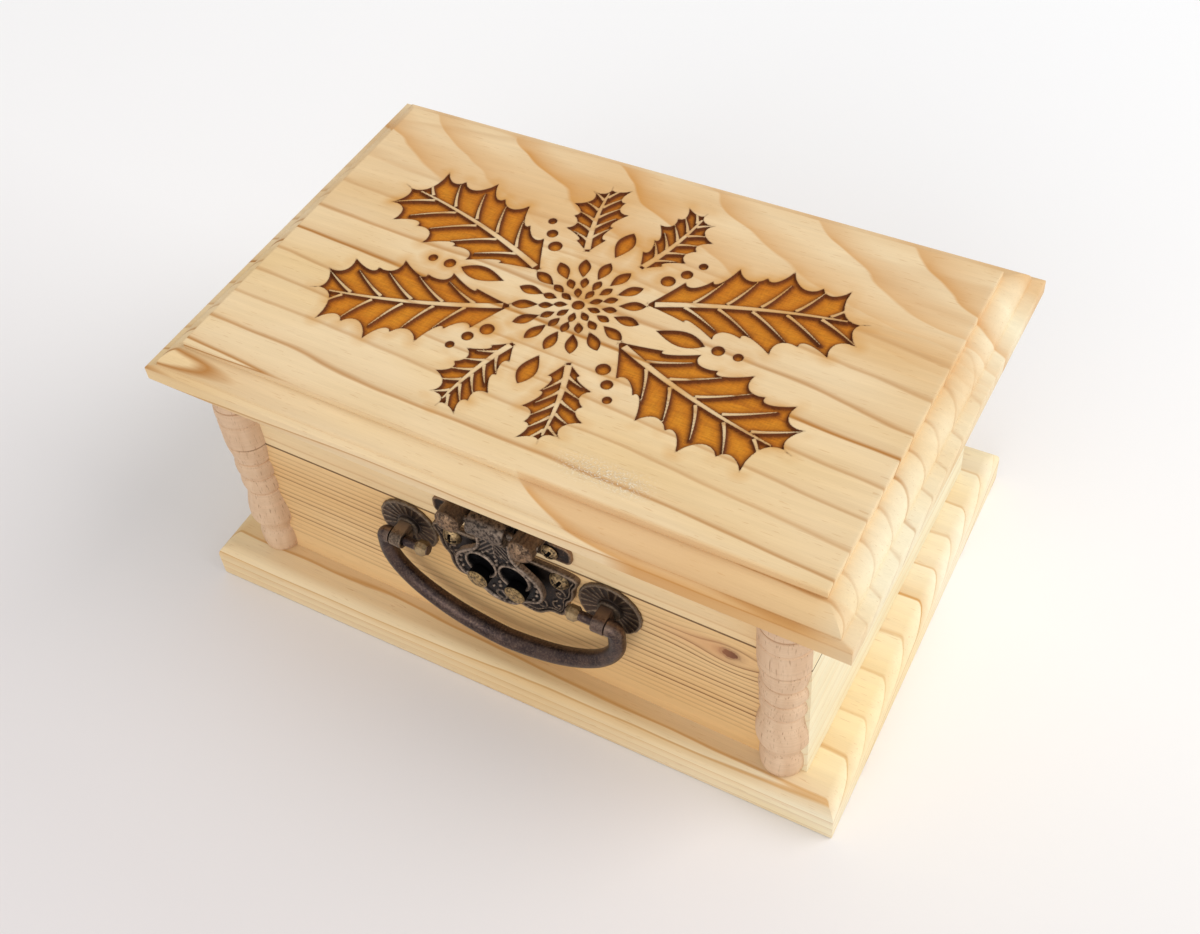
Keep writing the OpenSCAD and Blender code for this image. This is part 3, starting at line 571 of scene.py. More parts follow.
def worked_board(name, half, rings, xs, ys, top, material, body, node, turn=0.0):
    """Board with a grid for its top face and rings of points that step down round it to its underside."""
    nx, ny = len(xs), len(ys)
    points = top.reshape(-1, 3)
    border = perimeter(xs, ys)
    faces = [(j * nx + i, j * nx + i + 1, (j + 1) * nx + i + 1, (j + 1) * nx + i)
             for j in range(ny - 1) for i in range(nx - 1)]
    ring = [j * nx + i for i, j in border]
    shares = np.array([(xs[i] / xs[-1], ys[j] / ys[-1]) for i, j in border])
    extra = []
    start = len(points)
    for inset, height in reversed(rings):
        size = np.array([half[0] - inset[0], half[1] - inset[1]])
        extra.append(np.column_stack([shares * size, np.full(len(shares), height)]))
        here = list(range(start, start + len(border)))
        start += len(border)
        faces += [(ring[k], here[k], here[(k + 1) % len(here)], ring[(k + 1) % len(ring)])
                  for k in range(len(here))]
        ring = here
    faces.append(tuple(reversed(ring)))
    points = np.concatenate([points] + extra)
    c, s = math.cos(math.radians(turn)), math.sin(math.radians(turn))
    points = points @ np.array([[c, s, 0], [-s, c, 0], [0, 0, 1]]) + [BOARD_X, 0, 0]
    return mesh_piece(name, points, faces, material, body, node)


# Carving: a rosette of drops with leaves round it, sunk into the raised field

CARVE_REACH = 4.0
CARVE_DEPTH = 0.9
CARVE_WALL = 0.45
CARVE_ROUGH = 0.025
CARVE_CELL = 0.35


def segment_distance(x, y, a, b):
    """Distance of each point from the straight line that joins a and b."""
    run = b - a
    t = np.clip(((x - a[0]) * run[0] + (y - a[1]) * run[1]) / max(run @ run, 1e-9), 0, 1)
    return np.hypot(x - a[0] - t * run[0], y - a[1] - t * run[1])


def signed_distance(xs, ys, outlines, reach):
    """Distance of each grid point from the nearest outline, positive inside any of them."""
    field = np.full((len(ys), len(xs)), -float(reach))
    for outline in outlines:
        p = np.asarray(outline, float)
        i0, i1 = np.searchsorted(xs, [p[:, 0].min() - reach, p[:, 0].max() + reach])
        j0, j1 = np.searchsorted(ys, [p[:, 1].min() - reach, p[:, 1].max() + reach])
        gx, gy = np.meshgrid(xs[i0:i1], ys[j0:j1])
        best = np.full(gx.shape, 1e9)
        inside = np.zeros(gx.shape, bool)
        for a, b in zip(p, np.roll(p, -1, axis=0)):
            best = np.minimum(best, segment_distance(gx, gy, a, b))
            across, rise = b - a
            rise = rise if abs(rise) > 1e-12 else 1e-12
            inside ^= ((a[1] > gy) != (b[1] > gy)) & (gx < a[0] + (gy - a[1]) * across / rise)
        signed = np.where(inside, best, -best)
        field[j0:j1, i0:i1] = np.maximum(field[j0:j1, i0:i1], np.clip(signed, -reach, reach))
    return field


# The carving is drawn for a field of this size, and follows the field
CARVE_FIELD = (200.0, 122.6)
CARVE_AT = (-2.0, 0.0)
# Leaves: direction, foot's distance from the middle, length, half width, bend and tips a side
LEAVES = [(25, 20, 61, 17.5, -9, 7), (67, 23, 30, 9.5, 5, 5)]
LEAF_STEM = 1.1
# Drops: direction of the first, how many, distance of the point from the middle, length and width
DROPS = [(0, 16, 11.6, 8, 3.7), (0, 2, 25, 15, 6), (90, 2, 22, 12, 5.6),
         (12, 15, 7.0, 4.6, 2.6), (0, 9, 3.0, 4.2, 2.3)]
# Berries: place to the right and up from the middle, and radius, repeated in all four quarters
BERRIES = [(0, 0, 1.9), (18.8, 19.4, 2.2), (22.5, 24.1, 1.8), (25.3, 29.1, 1.4), (44, 0, 1.9), (50, 0, 1.5)]


def spine(leaf, t):
    return np.array([leaf[2] * t, leaf[4] * t * t])


def leaf_tip(leaf, side, i):
    t = 0.1 + 0.76 * i / (leaf[5] - 1)
    swell = math.sin(math.pi * (0.08 + 0.8 * t)) ** 0.85 * (0.88 + 0.12 * side * (-1) ** i)
    return spine(leaf, t + 0.07) + np.array([0, side * leaf[3] * swell])


def bay(leaf, a, b, steps=8):
    """Rounded bay from one tip to the next, hollowed towards the spine."""
    middle = (a + b) / 2
    root = spine(leaf, max(middle[0] / leaf[2] - 0.1, 0))
    hollow = 0.38 * np.linalg.norm(b - a) / np.linalg.norm(root - middle)
    return [a + (b - a) * k / steps + (root - middle) * hollow * math.sin(math.pi * k / steps) ** 0.7
            for k in range(steps)]


def leaf_outline(leaf):
    tips = [np.array([0, LEAF_STEM])] + [leaf_tip(leaf, 1, i) for i in range(leaf[5])] + [spine(leaf, 1)]
    tips += [leaf_tip(leaf, -1, i) for i in reversed(range(leaf[5]))] + [np.array([0, -LEAF_STEM])]
    return [p for a, b in zip(tips[:-1], tips[1:]) for p in bay(leaf, a, b)] + [tips[-1]]


def tapered(points, widths):
    """Outline of a thin line along points, with a half width at each."""
    p = np.asarray(points, float)
    run = np.gradient(p, axis=0)
    run /= np.linalg.norm(run, axis=1)[:, None]
    normal = np.column_stack([-run[:, 1], run[:, 0]]) * np.asarray(widths)[:, None]
    return np.concatenate([p + normal, (p - normal)[::-1]])


def leaf_veins(leaf, pairs=5):
    t = np.linspace(0.03, 0.9, 16)
    lines = [tapered([spine(leaf, v) for v in t], 0.95 * (1 - t) ** 0.8 + 0.1)]
    u = np.linspace(0.16, 1, 8)
    for k in range(pairs):
        for side in (-1, 1):
            start = 0.16 + 0.02 * side + 0.62 * k / (pairs - 1)
            reach = leaf[3] * 0.66 * math.sin(math.pi * (0.2 + 0.7 * start)) ** 0.8
            line = [spine(leaf, start + 0.17 * v) + np.array([0, side * reach * v ** 1.3]) for v in u]
            lines.append(tapered(line, 0.5 * (1 - u) + 0.1))
    return lines


def drop_outline(length, width, steps=12):
    """Drop along +X, pointed at both ends and fullest beyond its middle."""
    t = np.linspace(0, 1, steps)
    upper = np.column_stack([t * length, width / 2 * np.sin(np.pi * t ** 1.2) ** 0.85])
    return np.concatenate([upper, (upper * [1, -1])[::-1][1:-1]])


def disc_outline(radius, steps=16):
    a = np.linspace(0, 2 * np.pi, steps, endpoint=False)
    return np.column_stack([radius * np.cos(a), radius * np.sin(a)])


def turned(points, degrees, away=0.0):
    """Points pushed along +X and then turned about the middle of the carving."""
    a = math.radians(degrees)
    turn = np.array([[math.cos(a), math.sin(a)], [-math.sin(a), math.cos(a)]])
    return (np.asarray(points, float) + [away, 0]) @ turn


def quarters(outline):
    return [np.asarray(outline) * [x, y] for x in (-1, 1) for y in (-1, 1)]


def carve_outlines(scale):
    """Outlines that are cut into the field, and those that are left standing inside them."""
    cut, left = [], []
    for leaf in LEAVES:
        cut += quarters(turned(leaf_outline(leaf), leaf[0], leaf[1]))
        for vein in leaf_veins(leaf):
            left += quarters(turned(vein, leaf[0], leaf[1]))
    for first, count, away, length, width in DROPS:
        cut += [turned(drop_outline(length, width), first + 360 * i / count, away) for i in range(count)]
    for x, y, radius in BERRIES:
        cut += quarters(disc_outline(radius) + [x, y])
    return ([o * scale + CARVE_AT for o in cut], [o * scale + CARVE_AT for o in left])


def on_outline(gx, gy, field, cell):
    """Moves the grid points next to an outline onto it, so that its edge is crisp."""
    down, across = np.gradient(field, cell)
    size = np.maximum(np.hypot(across, down), 1e-6)
    near = (np.abs(field) < 0.5 * cell) & (size > 0.5)
    shift = np.where(near, -field / size, 0)
    return gx + shift * across / size, gy + shift * down / size, np.where(near, 0.0, field)


def lid_piece(material):
    """Moulded lid board, with the carving sunk into its field."""
    half = (LID_HIGH - LID_LOW)[:2] / 2
    field_half = half - FIELD_INSET - FIELD_RIM
    counts = [int(2 * f / CARVE_CELL) + 1 for f in field_half]
    xs = np.linspace(-field_half[0], field_half[0], counts[0])
    ys = np.linspace(-field_half[1], field_half[1], counts[1])
    scale = min(2 * (h - i) / size for h, i, size in zip(half, FIELD_INSET, CARVE_FIELD))
    cut, left = carve_outlines(scale)
    inside, outside = (signed_distance(xs, ys, lines, CARVE_REACH) for lines in (cut, left))
    carve = np.minimum(inside, -outside)
    gx, gy = np.meshgrid(xs, ys)
    gx, gy, carve = on_outline(gx, gy, carve, CARVE_CELL)
    noise = np.random.default_rng(SEED).normal(0, CARVE_ROUGH, carve.shape)
    gz = LID_HIGH[2] - (CARVE_DEPTH + noise) * soft_step(carve, 0, CARVE_WALL)
    top = np.stack([gx, gy, gz], axis=-1)
    obj = worked_board("lid_carved", half, lid_rings(), xs, ys, top, material, "lid", "lid_board")
    values = np.full(len(obj.data.vertices), -CARVE_REACH)
    values[:carve.size] = carve.ravel()
    mark(obj, "carve", values)


def base_piece(material):
    """Base board with rounded upper edges, turned a little so that it still fills its CAD box."""
    angle = math.radians(BASE_TURN)
    turned = (BASE_HIGH - BASE_LOW)[:2]
    mix = np.array([[math.cos(angle), math.sin(angle)], [math.sin(angle), math.cos(angle)]])
    half = np.linalg.solve(mix, turned) / 2
    high = BASE_HIGH[2]
    rings = [((0.5, 0.5), 0.0), ((0.15, 0.15), 0.12), ((0.0, 0.0), 0.5)]
    for i in range(ARC_STEPS + 1):
        turn = math.radians(90 * i / ARC_STEPS)
        inset = BASE_ROUND * (1 - math.cos(turn))
        rings.append(((inset, inset), high - BASE_ROUND + BASE_ROUND * math.sin(turn)))
    field = half - BASE_ROUND - 0.2
    xs = np.linspace(-field[0], field[0], 60)
    ys = np.linspace(-field[1], field[1], 40)
    gx, gy = np.meshgrid(xs, ys)
    top = np.stack([gx, gy, np.full(gx.shape, high)], axis=-1)
    worked_board("base_worked", half, rings, xs, ys, top, material, "case", "base_board",
                 BASE_TURN)


# Turned half columns

COLUMN_R = 7.6
COLUMN_SINK = 1.0
COLUMN_X = BODY_HALF - COLUMN_R


def bead(z0, z1, r0, r1, steps=10):
    a = np.linspace(0, np.pi, steps)
    return [(r0 + (r1 - r0) * math.sin(t), z0 + (z1 - z0) * (1 - math.cos(t)) / 2) for t in a]


def swell(z0, z1, r0, r1, steps=10):
    t = np.linspace(0, 1, steps)
    return [(r0 + (r1 - r0) * (1 - math.cos(math.pi * s)) / 2, z0 + (z1 - z0) * s) for s in t]


def lower_turning():
    low, top, r = WALL_LOW[2], WALL_HIGH[2], COLUMN_R
    return ([(r - 1.9, low), (r - 1.7, low + 0.2)] + bead(low + 0.3, low + 9.2, r - 1.7, r - 1)
            + [(r - 2, low + 9.8)] + swell(low + 10.6, low + 16, r - 1.8, r + 0.1)
            + swell(low + 18, top - 22, r + 0.1, r - 1.4) + [(r - 1.7, top - 21.8)]
            + bead(top - 21.5, top - 15, r - 1.6, r - 0.7) + bead(top - 14.5, top - 7.9, r - 1.6, r - 0.5)
            + [(r - 1.5, top - 7.5)] + swell(top - 6.8, top - 0.3, r - 0.9, r - 0.1, 5) + [(r - 0.35, top)])


def upper_turning():
    low, top, r = RAIL_LOW[2], RAIL_HIGH[2], COLUMN_R
    return ([(r - 0.35, low), (r - 0.1, low + 0.25), (r, low + 0.8), (r, low + 9.4), (r - 0.4, low + 9.9)]
            + bead(low + 10.2, low + 15.8, r - 0.3, r) + [(r - 1.3, low + 16.1)]
            + swell(low + 16.5, top - 1.6, r - 0.3, r - 0.9) + bead(top - 1.5, top, r - 0.8, r - 0.4, 6))


def half_column(name, side, turning, material, body, node):
    """Turned shape cut flat at the front wall."""
    steps = 40
    points, faces = [], []
    for radius, height in turning:
        limit = math.acos(COLUMN_SINK / radius)
        for k in range(steps + 1):
            a = -limit + 2 * limit * k / steps
            out = radius * math.cos(a) - COLUMN_SINK
            points.append((side * COLUMN_X + radius * math.sin(a), FRONT_Y - out, height))
    row = steps + 1
    for i in range(len(turning) - 1):
        for k in range(steps):
            faces.append((i * row + k, i * row + k + 1, (i + 1) * row + k + 1, (i + 1) * row + k))
    faces += [((i + 1) * row, (i + 1) * row + steps, i * row + steps, i * row)
              for i in range(len(turning) - 1)]
    faces.append(tuple(range(row - 1, -1, -1)))
    faces.append(tuple(range((len(turning) - 1) * row, len(turning) * row)))
    mesh_piece(name, points, faces, material, body, node, 30)


# Metal fittings: every shape is made from points to the right, up and outward of a place on the front face

PLATE_T = 1.2
PIN_PLAY = 0.05
RELIEF_REACH = 3.0
CLASP = (CLASP_X, SEAM_Z)
PIVOT_OUT = FRONT_Y - JOINTS["bail_swing"][1]
PIVOT_Z = JOINTS["bail_swing"][2]
HASP_PIN_OUT = FRONT_Y - JOINTS["hasp_hinge"][1]
HASP_PIN_UP = JOINTS["hasp_hinge"][2] - SEAM_Z
POST_PITCH = 66.8


class Shells:
    """Closed shells that make up one fitting, with each point's mark for wear and painted light."""

    def __init__(self):
        self.points, self.faces, self.worn, self.count = [], [], [], 0

    def add(self, points, faces, worn=0.0, at=(0, 0, 0)):
        points = np.asarray(points, float) + at
        self.points.append(points)
        self.faces += [tuple(i + self.count for i in face) for face in faces]
        self.worn.append(np.broadcast_to(worn, len(points)))
        self.count += len(points)
        return self

    def piece(self, name, place, material, body, node, slot_name, angle=50):
        p = np.concatenate(self.points)
        world = np.column_stack([place[0] + p[:, 0], FRONT_Y - p[:, 2], place[1] + p[:, 1]])
        obj = mesh_piece(name, world, self.faces, material, body, node, angle)
        mark(obj, "worn", np.concatenate(self.worn))
        return obj


def mirrored(points):
    return np.asarray(points, float)[::-1] * [-1, 1]


def rounded(line, rounds):
    """Line with its corners cut off again and again until it is round."""
    line = np.asarray(line, float)
    for _ in range(rounds):
        a, b = line[:-1], line[1:]
        cut = np.stack([0.75 * a + 0.25 * b, 0.25 * a + 0.75 * b], axis=1).reshape(-1, 2)
        line = np.concatenate([line[:1], cut, line[-1:]])
    return line


def both_halves(half):
    """Outline from its right half, listed top to bottom, with its corners rounded off."""
    right = rounded(half, 3)
    return np.concatenate([right, mirrored(right)])


def relief(outlines, cell, back, height):
    """Plate cut out along its outlines, with a face that height(x, y, inward) raises."""
    edge = np.concatenate(outlines)
    xs = np.arange(edge[:, 0].min() - cell, edge[:, 0].max() + 2 * cell, cell)
    ys = np.arange(edge[:, 1].min() - cell, edge[:, 1].max() + 2 * cell, cell)
    inward = signed_distance(xs, ys, outlines, RELIEF_REACH)
    points, faces, rim, known = [], [], [], {}

    def number(key, point):
        if key not in known:
            known[key] = len(points)
            points.append(point)
        return known[key]

    def corner(a):
        return number(a, (xs[a[0]], ys[a[1]], inward[a[1], a[0]]))

    def crossing(a, b):
        a, b = min(a, b), max(a, b)
        share = inward[a[1], a[0]] / (inward[a[1], a[0]] - inward[b[1], b[0]])
        x = xs[a[0]] + share * (xs[b[0]] - xs[a[0]])
        y = ys[a[1]] + share * (ys[b[1]] - ys[a[1]])
        return number((a, b), (x, y, 0))

    inner = inward > 0
    some = inner[:-1, :-1] | inner[1:, :-1] | inner[:-1, 1:] | inner[1:, 1:]
    for j, i in np.argwhere(some):
        i, j = int(i), int(j)
        corners = [(i, j), (i + 1, j), (i + 1, j + 1), (i, j + 1)]
        face, leaving, entering = [], [], []
        for a, b in zip(corners, corners[1:] + corners[:1]):
            if inner[a[1], a[0]]:
                face.append(corner(a))
            if inner[a[1], a[0]] != inner[b[1], b[0]]:
                face.append(crossing(a, b))
                (leaving if inner[a[1], a[0]] else entering).append(face[-1])
        faces.append(tuple(face))
        for start in leaving:
            rim.append((start, face[(face.index(start) + 1) % len(face)]))
    flat = np.array(points)
    n = len(flat)
    top = np.column_stack([flat[:, :2], height(flat[:, 0], flat[:, 1], flat[:, 2])])
    under = np.column_stack([flat[:, :2], np.full(n, back)])
    faces += [tuple(i + n for i in reversed(face)) for face in faces]
    faces += [(b, a, a + n, b + n) for a, b in rim]
    return np.concatenate([top, under]), faces


def skin(rings, steps, closed=False):
    """Faces between rings of points, and from the last ring back to the first where closed."""
    pairs = [(i, (i + 1) % rings) for i in range(rings if closed else rings - 1)]
    return [(i * steps + k, j * steps + k, j * steps + (k + 1) % steps, i * steps + (k + 1) % steps)
            for i, j in pairs for k in range(steps)]


def lathe(profile, steps=48):
    """Solid turned about the outward axis from its rim at the back to its middle in front."""
    a = np.linspace(0, 2 * np.pi, steps, endpoint=False)
    points = np.concatenate([np.column_stack([r * np.cos(a), r * np.sin(a), np.full(steps, h)])
                             for r, h in profile])
    faces = [(a, d, c, b) for a, b, c, d in skin(len(profile), steps)]
    last = (len(profile) - 1) * steps
    faces += [tuple(reversed(range(steps))), tuple(range(last, last + steps))]
    return points, faces


def collar(ring, steps):
    """Ring-shaped solid about the way to the right, from its section as (radius, place)."""
    a = np.linspace(0, 2 * np.pi, steps, endpoint=False)
    points = np.concatenate([np.column_stack([np.full(steps, x), r * np.cos(a), r * np.sin(a)])
                             for r, x in ring])
    return points, skin(len(ring), steps, closed=True)


def tube(radius, bore, width):
    """Barrel along the way to the right, with rounded ends and a bore."""
    half, soft = width / 2, 0.5
    ring = [(bore, -half), (radius - soft, -half), (radius - 0.15, -half + 0.15), (radius, -half + soft),
            (radius, half - soft), (radius - 0.15, half - 0.15), (radius - soft, half), (bore, half)]
    return collar(ring, 48)


def dome(x, y, radius, height):
    """Height of a shallow dome over the middle."""
    ball = (radius ** 2 + height ** 2) / (2 * height)
    return np.sqrt(np.maximum(ball ** 2 - x ** 2 - y ** 2, (ball - height) ** 2)) - (ball - height)


def ridge(inward, middle, half_width):
    """Rounded ridge that follows an outline at a distance inside it: 1 on its crest."""
    return np.sqrt(np.clip(1 - ((inward - middle) / half_width) ** 2, 0, 1))


def bump_at(x, y, at, radius):
    """Rounded bead at a place and at its mirror image: 1 on its top."""
    away = np.hypot(np.abs(x) - at[0], y - at[1])
    return np.sqrt(np.clip(1 - (away / radius) ** 2, 0, 1))


# Clasp

HASP_HALF = [(6, 11), (5.8, 8), (5.5, 4), (6.4, 1), (9.8, -1.5), (13.4, -4.6), (14.8, -8.5), (14.3, -12),
             (12.3, -14.4), (9.5, -15.6), (7, -17), (5, -19.4), (2.5, -20.4), (0, -20.6)]
HASP_T = 1.3
# The hasp's barrel: radius, bore and width
BARREL = (3.6, 1.2 + PIN_PLAY, 12.1)
HASP_BACK = HASP_PIN_OUT - BARREL[0] + 2
HASP_FRONT = HASP_BACK + HASP_T
EYE_AT, EYE_R = (5.45, -6.3), 4.45
RIVET_AT, RIVET_R, RIVET_HEAD_R, RIVET_H = (6.2, -11.3), 1.5, 3.3, 3.3
RIVET_DOME = 0.6
TONGUE_RING = (0, -17.2)
# Beads: place and radius
HASP_BEADS = [(0, z, 0.75) for z in (0.2, -1.7, -3.5, -11.4, -13.2)]
HASP_BEADS += [(2.2, 1.6, 0.7), (4.0, 0.2, 0.6), (10.9, -3.9, 0.7), (12.3, -6.0, 0.8), (12.6, -8.4, 0.8),
               (12.2, -10.6, 0.7), (10.9, -13.2, 0.6), (2.4, -14.6, 0.6)]


def hasp_height(x, y, inward):
    """The hasp's face: a raised rim, a barbed neck, ringed hollow eyes with petals, and beads."""
    eye = np.hypot(np.abs(x) - EYE_AT[0], y - EYE_AT[1])
    rise = 0.75 * ridge(inward, 0.55, 0.6)
    neck = soft_step(y, -1, 1.5) * (1 - soft_step(y, 9.5, 11)) * soft_step(inward, 0.9, 1.4)
    barbs = 0.5 + 0.5 * np.sin((y + 1.1 * np.abs(x)) * 2 * np.pi / 1.9)
    rise = np.maximum(rise, neck * (0.12 + 0.33 * barbs + 0.3 * np.clip(1 - np.abs(x) / 0.6, 0, 1)))
    rise = np.maximum(rise, 0.8 * ridge(eye, EYE_R + 0.45, 0.55))
    rise = np.maximum(rise, 0.45 * ridge(np.hypot(x - TONGUE_RING[0], y - TONGUE_RING[1]), 1.7, 0.5))
    for at_x, at_y, radius in HASP_BEADS:
        rise = np.maximum(rise, 0.6 * bump_at(x, y, (at_x, at_y), radius))
    hollow = 1 - soft_step(eye, EYE_R - 0.6, EYE_R)
    petals = 0.18 * (0.5 + 0.5 * np.cos(8 * np.arctan2(y - EYE_AT[1], np.abs(x) - EYE_AT[0])))
    rise = rise * (1 - hollow) - hollow * (0.8 - petals * soft_step(eye, 0.6, 2.0))
    return HASP_FRONT + rise


def worn_by_height(points, low, high, back):
    worn = soft_step(points[:, 2], low, high)
    return np.where(points[:, 2] <= back + 0.01, 0, worn)


def make_hasp():
    points, faces = relief([both_halves(HASP_HALF)], 0.22, HASP_BACK, hasp_height)
    # Raised rims, neck and beads bright: rubbed metal, with painted highlights
    worn = worn_by_height(points, HASP_FRONT + 0.15, HASP_FRONT + 0.75, HASP_BACK)
    eye = np.hypot(np.abs(points[:, 0]) - EYE_AT[0], points[:, 1] - EYE_AT[1])
    worn = np.where(eye < EYE_R - 0.1, -1, worn)
    shells = Shells().add(points, faces, worn)
    barrel, barrel_faces = tube(*BARREL)
    ends = soft_step(np.abs(barrel[:, 0]), BARREL[2] / 2 - 0.8, BARREL[2] / 2 - 0.4)
    shells.add(barrel, barrel_faces, 0.05 + 0.6 * ends, (0, HASP_PIN_UP, HASP_PIN_OUT))
    shells.piece("hasp_worked", CLASP, BRONZE, "hasp", "hasp", "bronze")


DENTS, DENT_REACH, DENT_R = 26, 4, 0.9


def hammered(points, top, depth, seed):
    """Shallow dents in the part of a shape that lies beyond a height."""
    rng = np.random.default_rng(seed)
    dents = rng.uniform(-DENT_REACH, DENT_REACH, (DENTS, 2))
    depths = rng.uniform(0.4, 1.0, len(dents)) * depth
    for (x, y), deep in zip(dents, depths):
        away = np.hypot(points[:, 0] - x, points[:, 1] - y)
        points[:, 2] -= np.where(points[:, 2] > top, deep * np.exp(-(away / DENT_R) ** 2), 0)
    return points


def make_rivets():
    shells = Shells()
    for side in (-1, 1):
        rim = HASP_FRONT + RIVET_H - RIVET_DOME
        profile = [(RIVET_R, HASP_BACK - 0.6), (RIVET_R, HASP_FRONT), (RIVET_HEAD_R, HASP_FRONT + 0.01),
                   (RIVET_HEAD_R, rim - 0.3), (RIVET_HEAD_R - 0.1, rim - 0.05)]
        profile += [(r, rim + dome(r, 0, RIVET_HEAD_R, RIVET_DOME))
                    for r in np.linspace(RIVET_HEAD_R - 0.4, 0.15, 12)]
        points, faces = lathe(profile)
        worn = 2 * soft_step(points[:, 2], rim - 0.15, rim + 0.05) - 1
        points = hammered(points, rim + 0.02, 0.16, SEED + side)
        shells.add(points, faces, worn, (side * RIVET_AT[0], RIVET_AT[1], 0))
        foot = [(0.1, HASP_BACK - 1.1), (RIVET_R + 0.3, HASP_BACK - 0.9), (RIVET_R + 0.6, HASP_BACK - 0.6),
                (0.1, HASP_BACK - 0.59)]
        shells.add(*lathe(foot), 0, (side * RIVET_AT[0], RIVET_AT[1], 0))
    shells.piece("hasp_rivets_worked", CLASP, RIVET_BRASS, "hasp", "hasp_rivets", "worn_brass")


HEAD_RIM, SLOT_DEPTH = 0.1, 0.9


def screw(shells, at, head_r, head_h, shank_r, length, turn):
    """Round-headed screw with a cross slot."""
    a, seat = math.radians(turn), PLATE_T

    def crown(x, y):
        return seat + HEAD_RIM + (head_h - HEAD_RIM) * dome(x, y, head_r, head_h) / head_h

    def head(x, y, inward):
        u, v = x * math.cos(a) + y * math.sin(a), y * math.cos(a) - x * math.sin(a)
        slot = 1 - soft_step(np.minimum(np.abs(u), np.abs(v)), 0.34, 0.5)
        reach = 1 - soft_step(np.hypot(x, y), 0.62 * head_r, 0.68 * head_r)
        return crown(x, y) - SLOT_DEPTH * reach * slot

    points, faces = relief([disc_outline(head_r, 40)], head_r / 14, seat, head)
    x, y, out = points.T
    away = np.hypot(x, y) / head_r
    worn = np.where(out > seat + 0.05, 0.35 + 0.65 * soft_step(away, 0.5, 0.75), 0)
    # The cross slot near black: painted shade in the recess
    worn = np.where((out < crown(x, y) - 0.1) & (away < 0.7), -1, worn)
    shells.add(points, faces, worn, (*at, 0))
    shells.add(*lathe([(shank_r, seat - length), (shank_r, seat)], 20), 0, (*at, 0))


def make_screws(node, at, size, body):
    shells = Shells()
    for side in (-1, 1):
        screw(shells, (side * at[0], at[1]), *size, turn=25 + 30 * side)
    shells.piece(f"{node}_worked", CLASP, SCREW_BRASS, body, node, "worn_brass")


# Screws: place, then radius and height of the head, radius and length of the shank
UPPER_SCREW_AT, UPPER_SCREW = (15.6, 6.5), (2.75, 1.5, 1.1, 8)
LOWER_SCREW_AT, LOWER_SCREW = (17.7, -5.2), (3.15, 2.2, 1.2, 8)
LOWER_HALF = [(12, -0.6), (21, -0.6), (24, -1.6), (24, -4), (22.4, -6.4), (22.3, -9), (21.6, -12),
              (19.6, -14), (19.8, -17.4), (17.8, -21.6), (14.4, -21.4), (12.6, -22.6), (9.4, -25.6),
              (4.4, -25), (0, -23.6)]
# Bar that the tongue closes on
STRIKE_UP, STRIKE_R, STRIKE_HALF_W = -18.6, 0.8, 4.0


def spiral(at, turns, size, lean, way=1, steps=26):
    t = np.linspace(0.1, 1, steps)
    a = lean + way * turns * 2 * np.pi * t
    return np.column_stack([at[0] + size * t * np.cos(a), at[1] + size * t * np.sin(a)])


LOWER_SCROLLS = [spiral((17.3, -11.6), 1.2, 2.6, 0.4), spiral((16.4, -17.6), 1.1, 2.2, 2.4, -1),
                 spiral((10.6, -19.8), 1.1, 2.4, 1.0), spiral((4.2, -22.2), 1.0, 1.7, 2.2, -1)]


def lower_height(x, y, inward):
    """The lower plate's face: two rims, scrolls between them and the bar."""
    rise = 0.8 * ridge(inward, 0.5, 0.5) + 0.45 * ridge(inward, 1.55, 0.4)
    crest = np.zeros(len(x))
    for line in LOWER_SCROLLS:
        near = np.min([segment_distance(np.abs(x), y, a, b) for a, b in zip(line[:-1], line[1:])], axis=0)
        crest = np.maximum(crest, 0.55 * ridge(near, 0, 0.5))
    rise = np.maximum(rise, crest * soft_step(inward, 1.6, 2.2))
    bar = np.where(np.abs(x) < STRIKE_HALF_W, STRIKE_R * ridge(y, STRIKE_UP, STRIKE_R), 0)
    screws = np.hypot(np.abs(x) - LOWER_SCREW_AT[0], y - LOWER_SCREW_AT[1])
    rise = np.maximum(rise * soft_step(screws, LOWER_SCREW[0], LOWER_SCREW[0] + 0.3), bar)
    return PLATE_T + rise


def make_lower_plate():
    points, faces = relief([both_halves(LOWER_HALF)], 0.25, 0, lower_height)
    worn = 0.45 * worn_by_height(points, PLATE_T + 0.3, PLATE_T + 0.8, 0)
    shells = Shells().add(points, faces, worn)
    shells.piece("clasp_plate_lower_worked", CLASP, BRONZE_BLUE, "case", "clasp_plate_lower", "bronze")


# The upper plate's wings and middle: width, height and how far above the seam they start
WINGS = (45, 7, 3.5)
BLOCK = (32.8, 14.0, 3.7)
# Its bosses: distance from the middle, radius, how far they stand out and the dome's share of that
BOSS = (11.7, 3.9, 10.9, 2.0)


def rounded_rect(width, height, low, radius=2.4, steps=6):
    a = np.linspace(0, np.pi / 2, steps)
    arc = np.column_stack([np.cos(a), np.sin(a)]) * radius + [width / 2 - radius, height / 2 - radius]
    top = np.concatenate([arc, mirrored(arc)])
    return np.concatenate([top, -top]) + [0, low + height / 2]


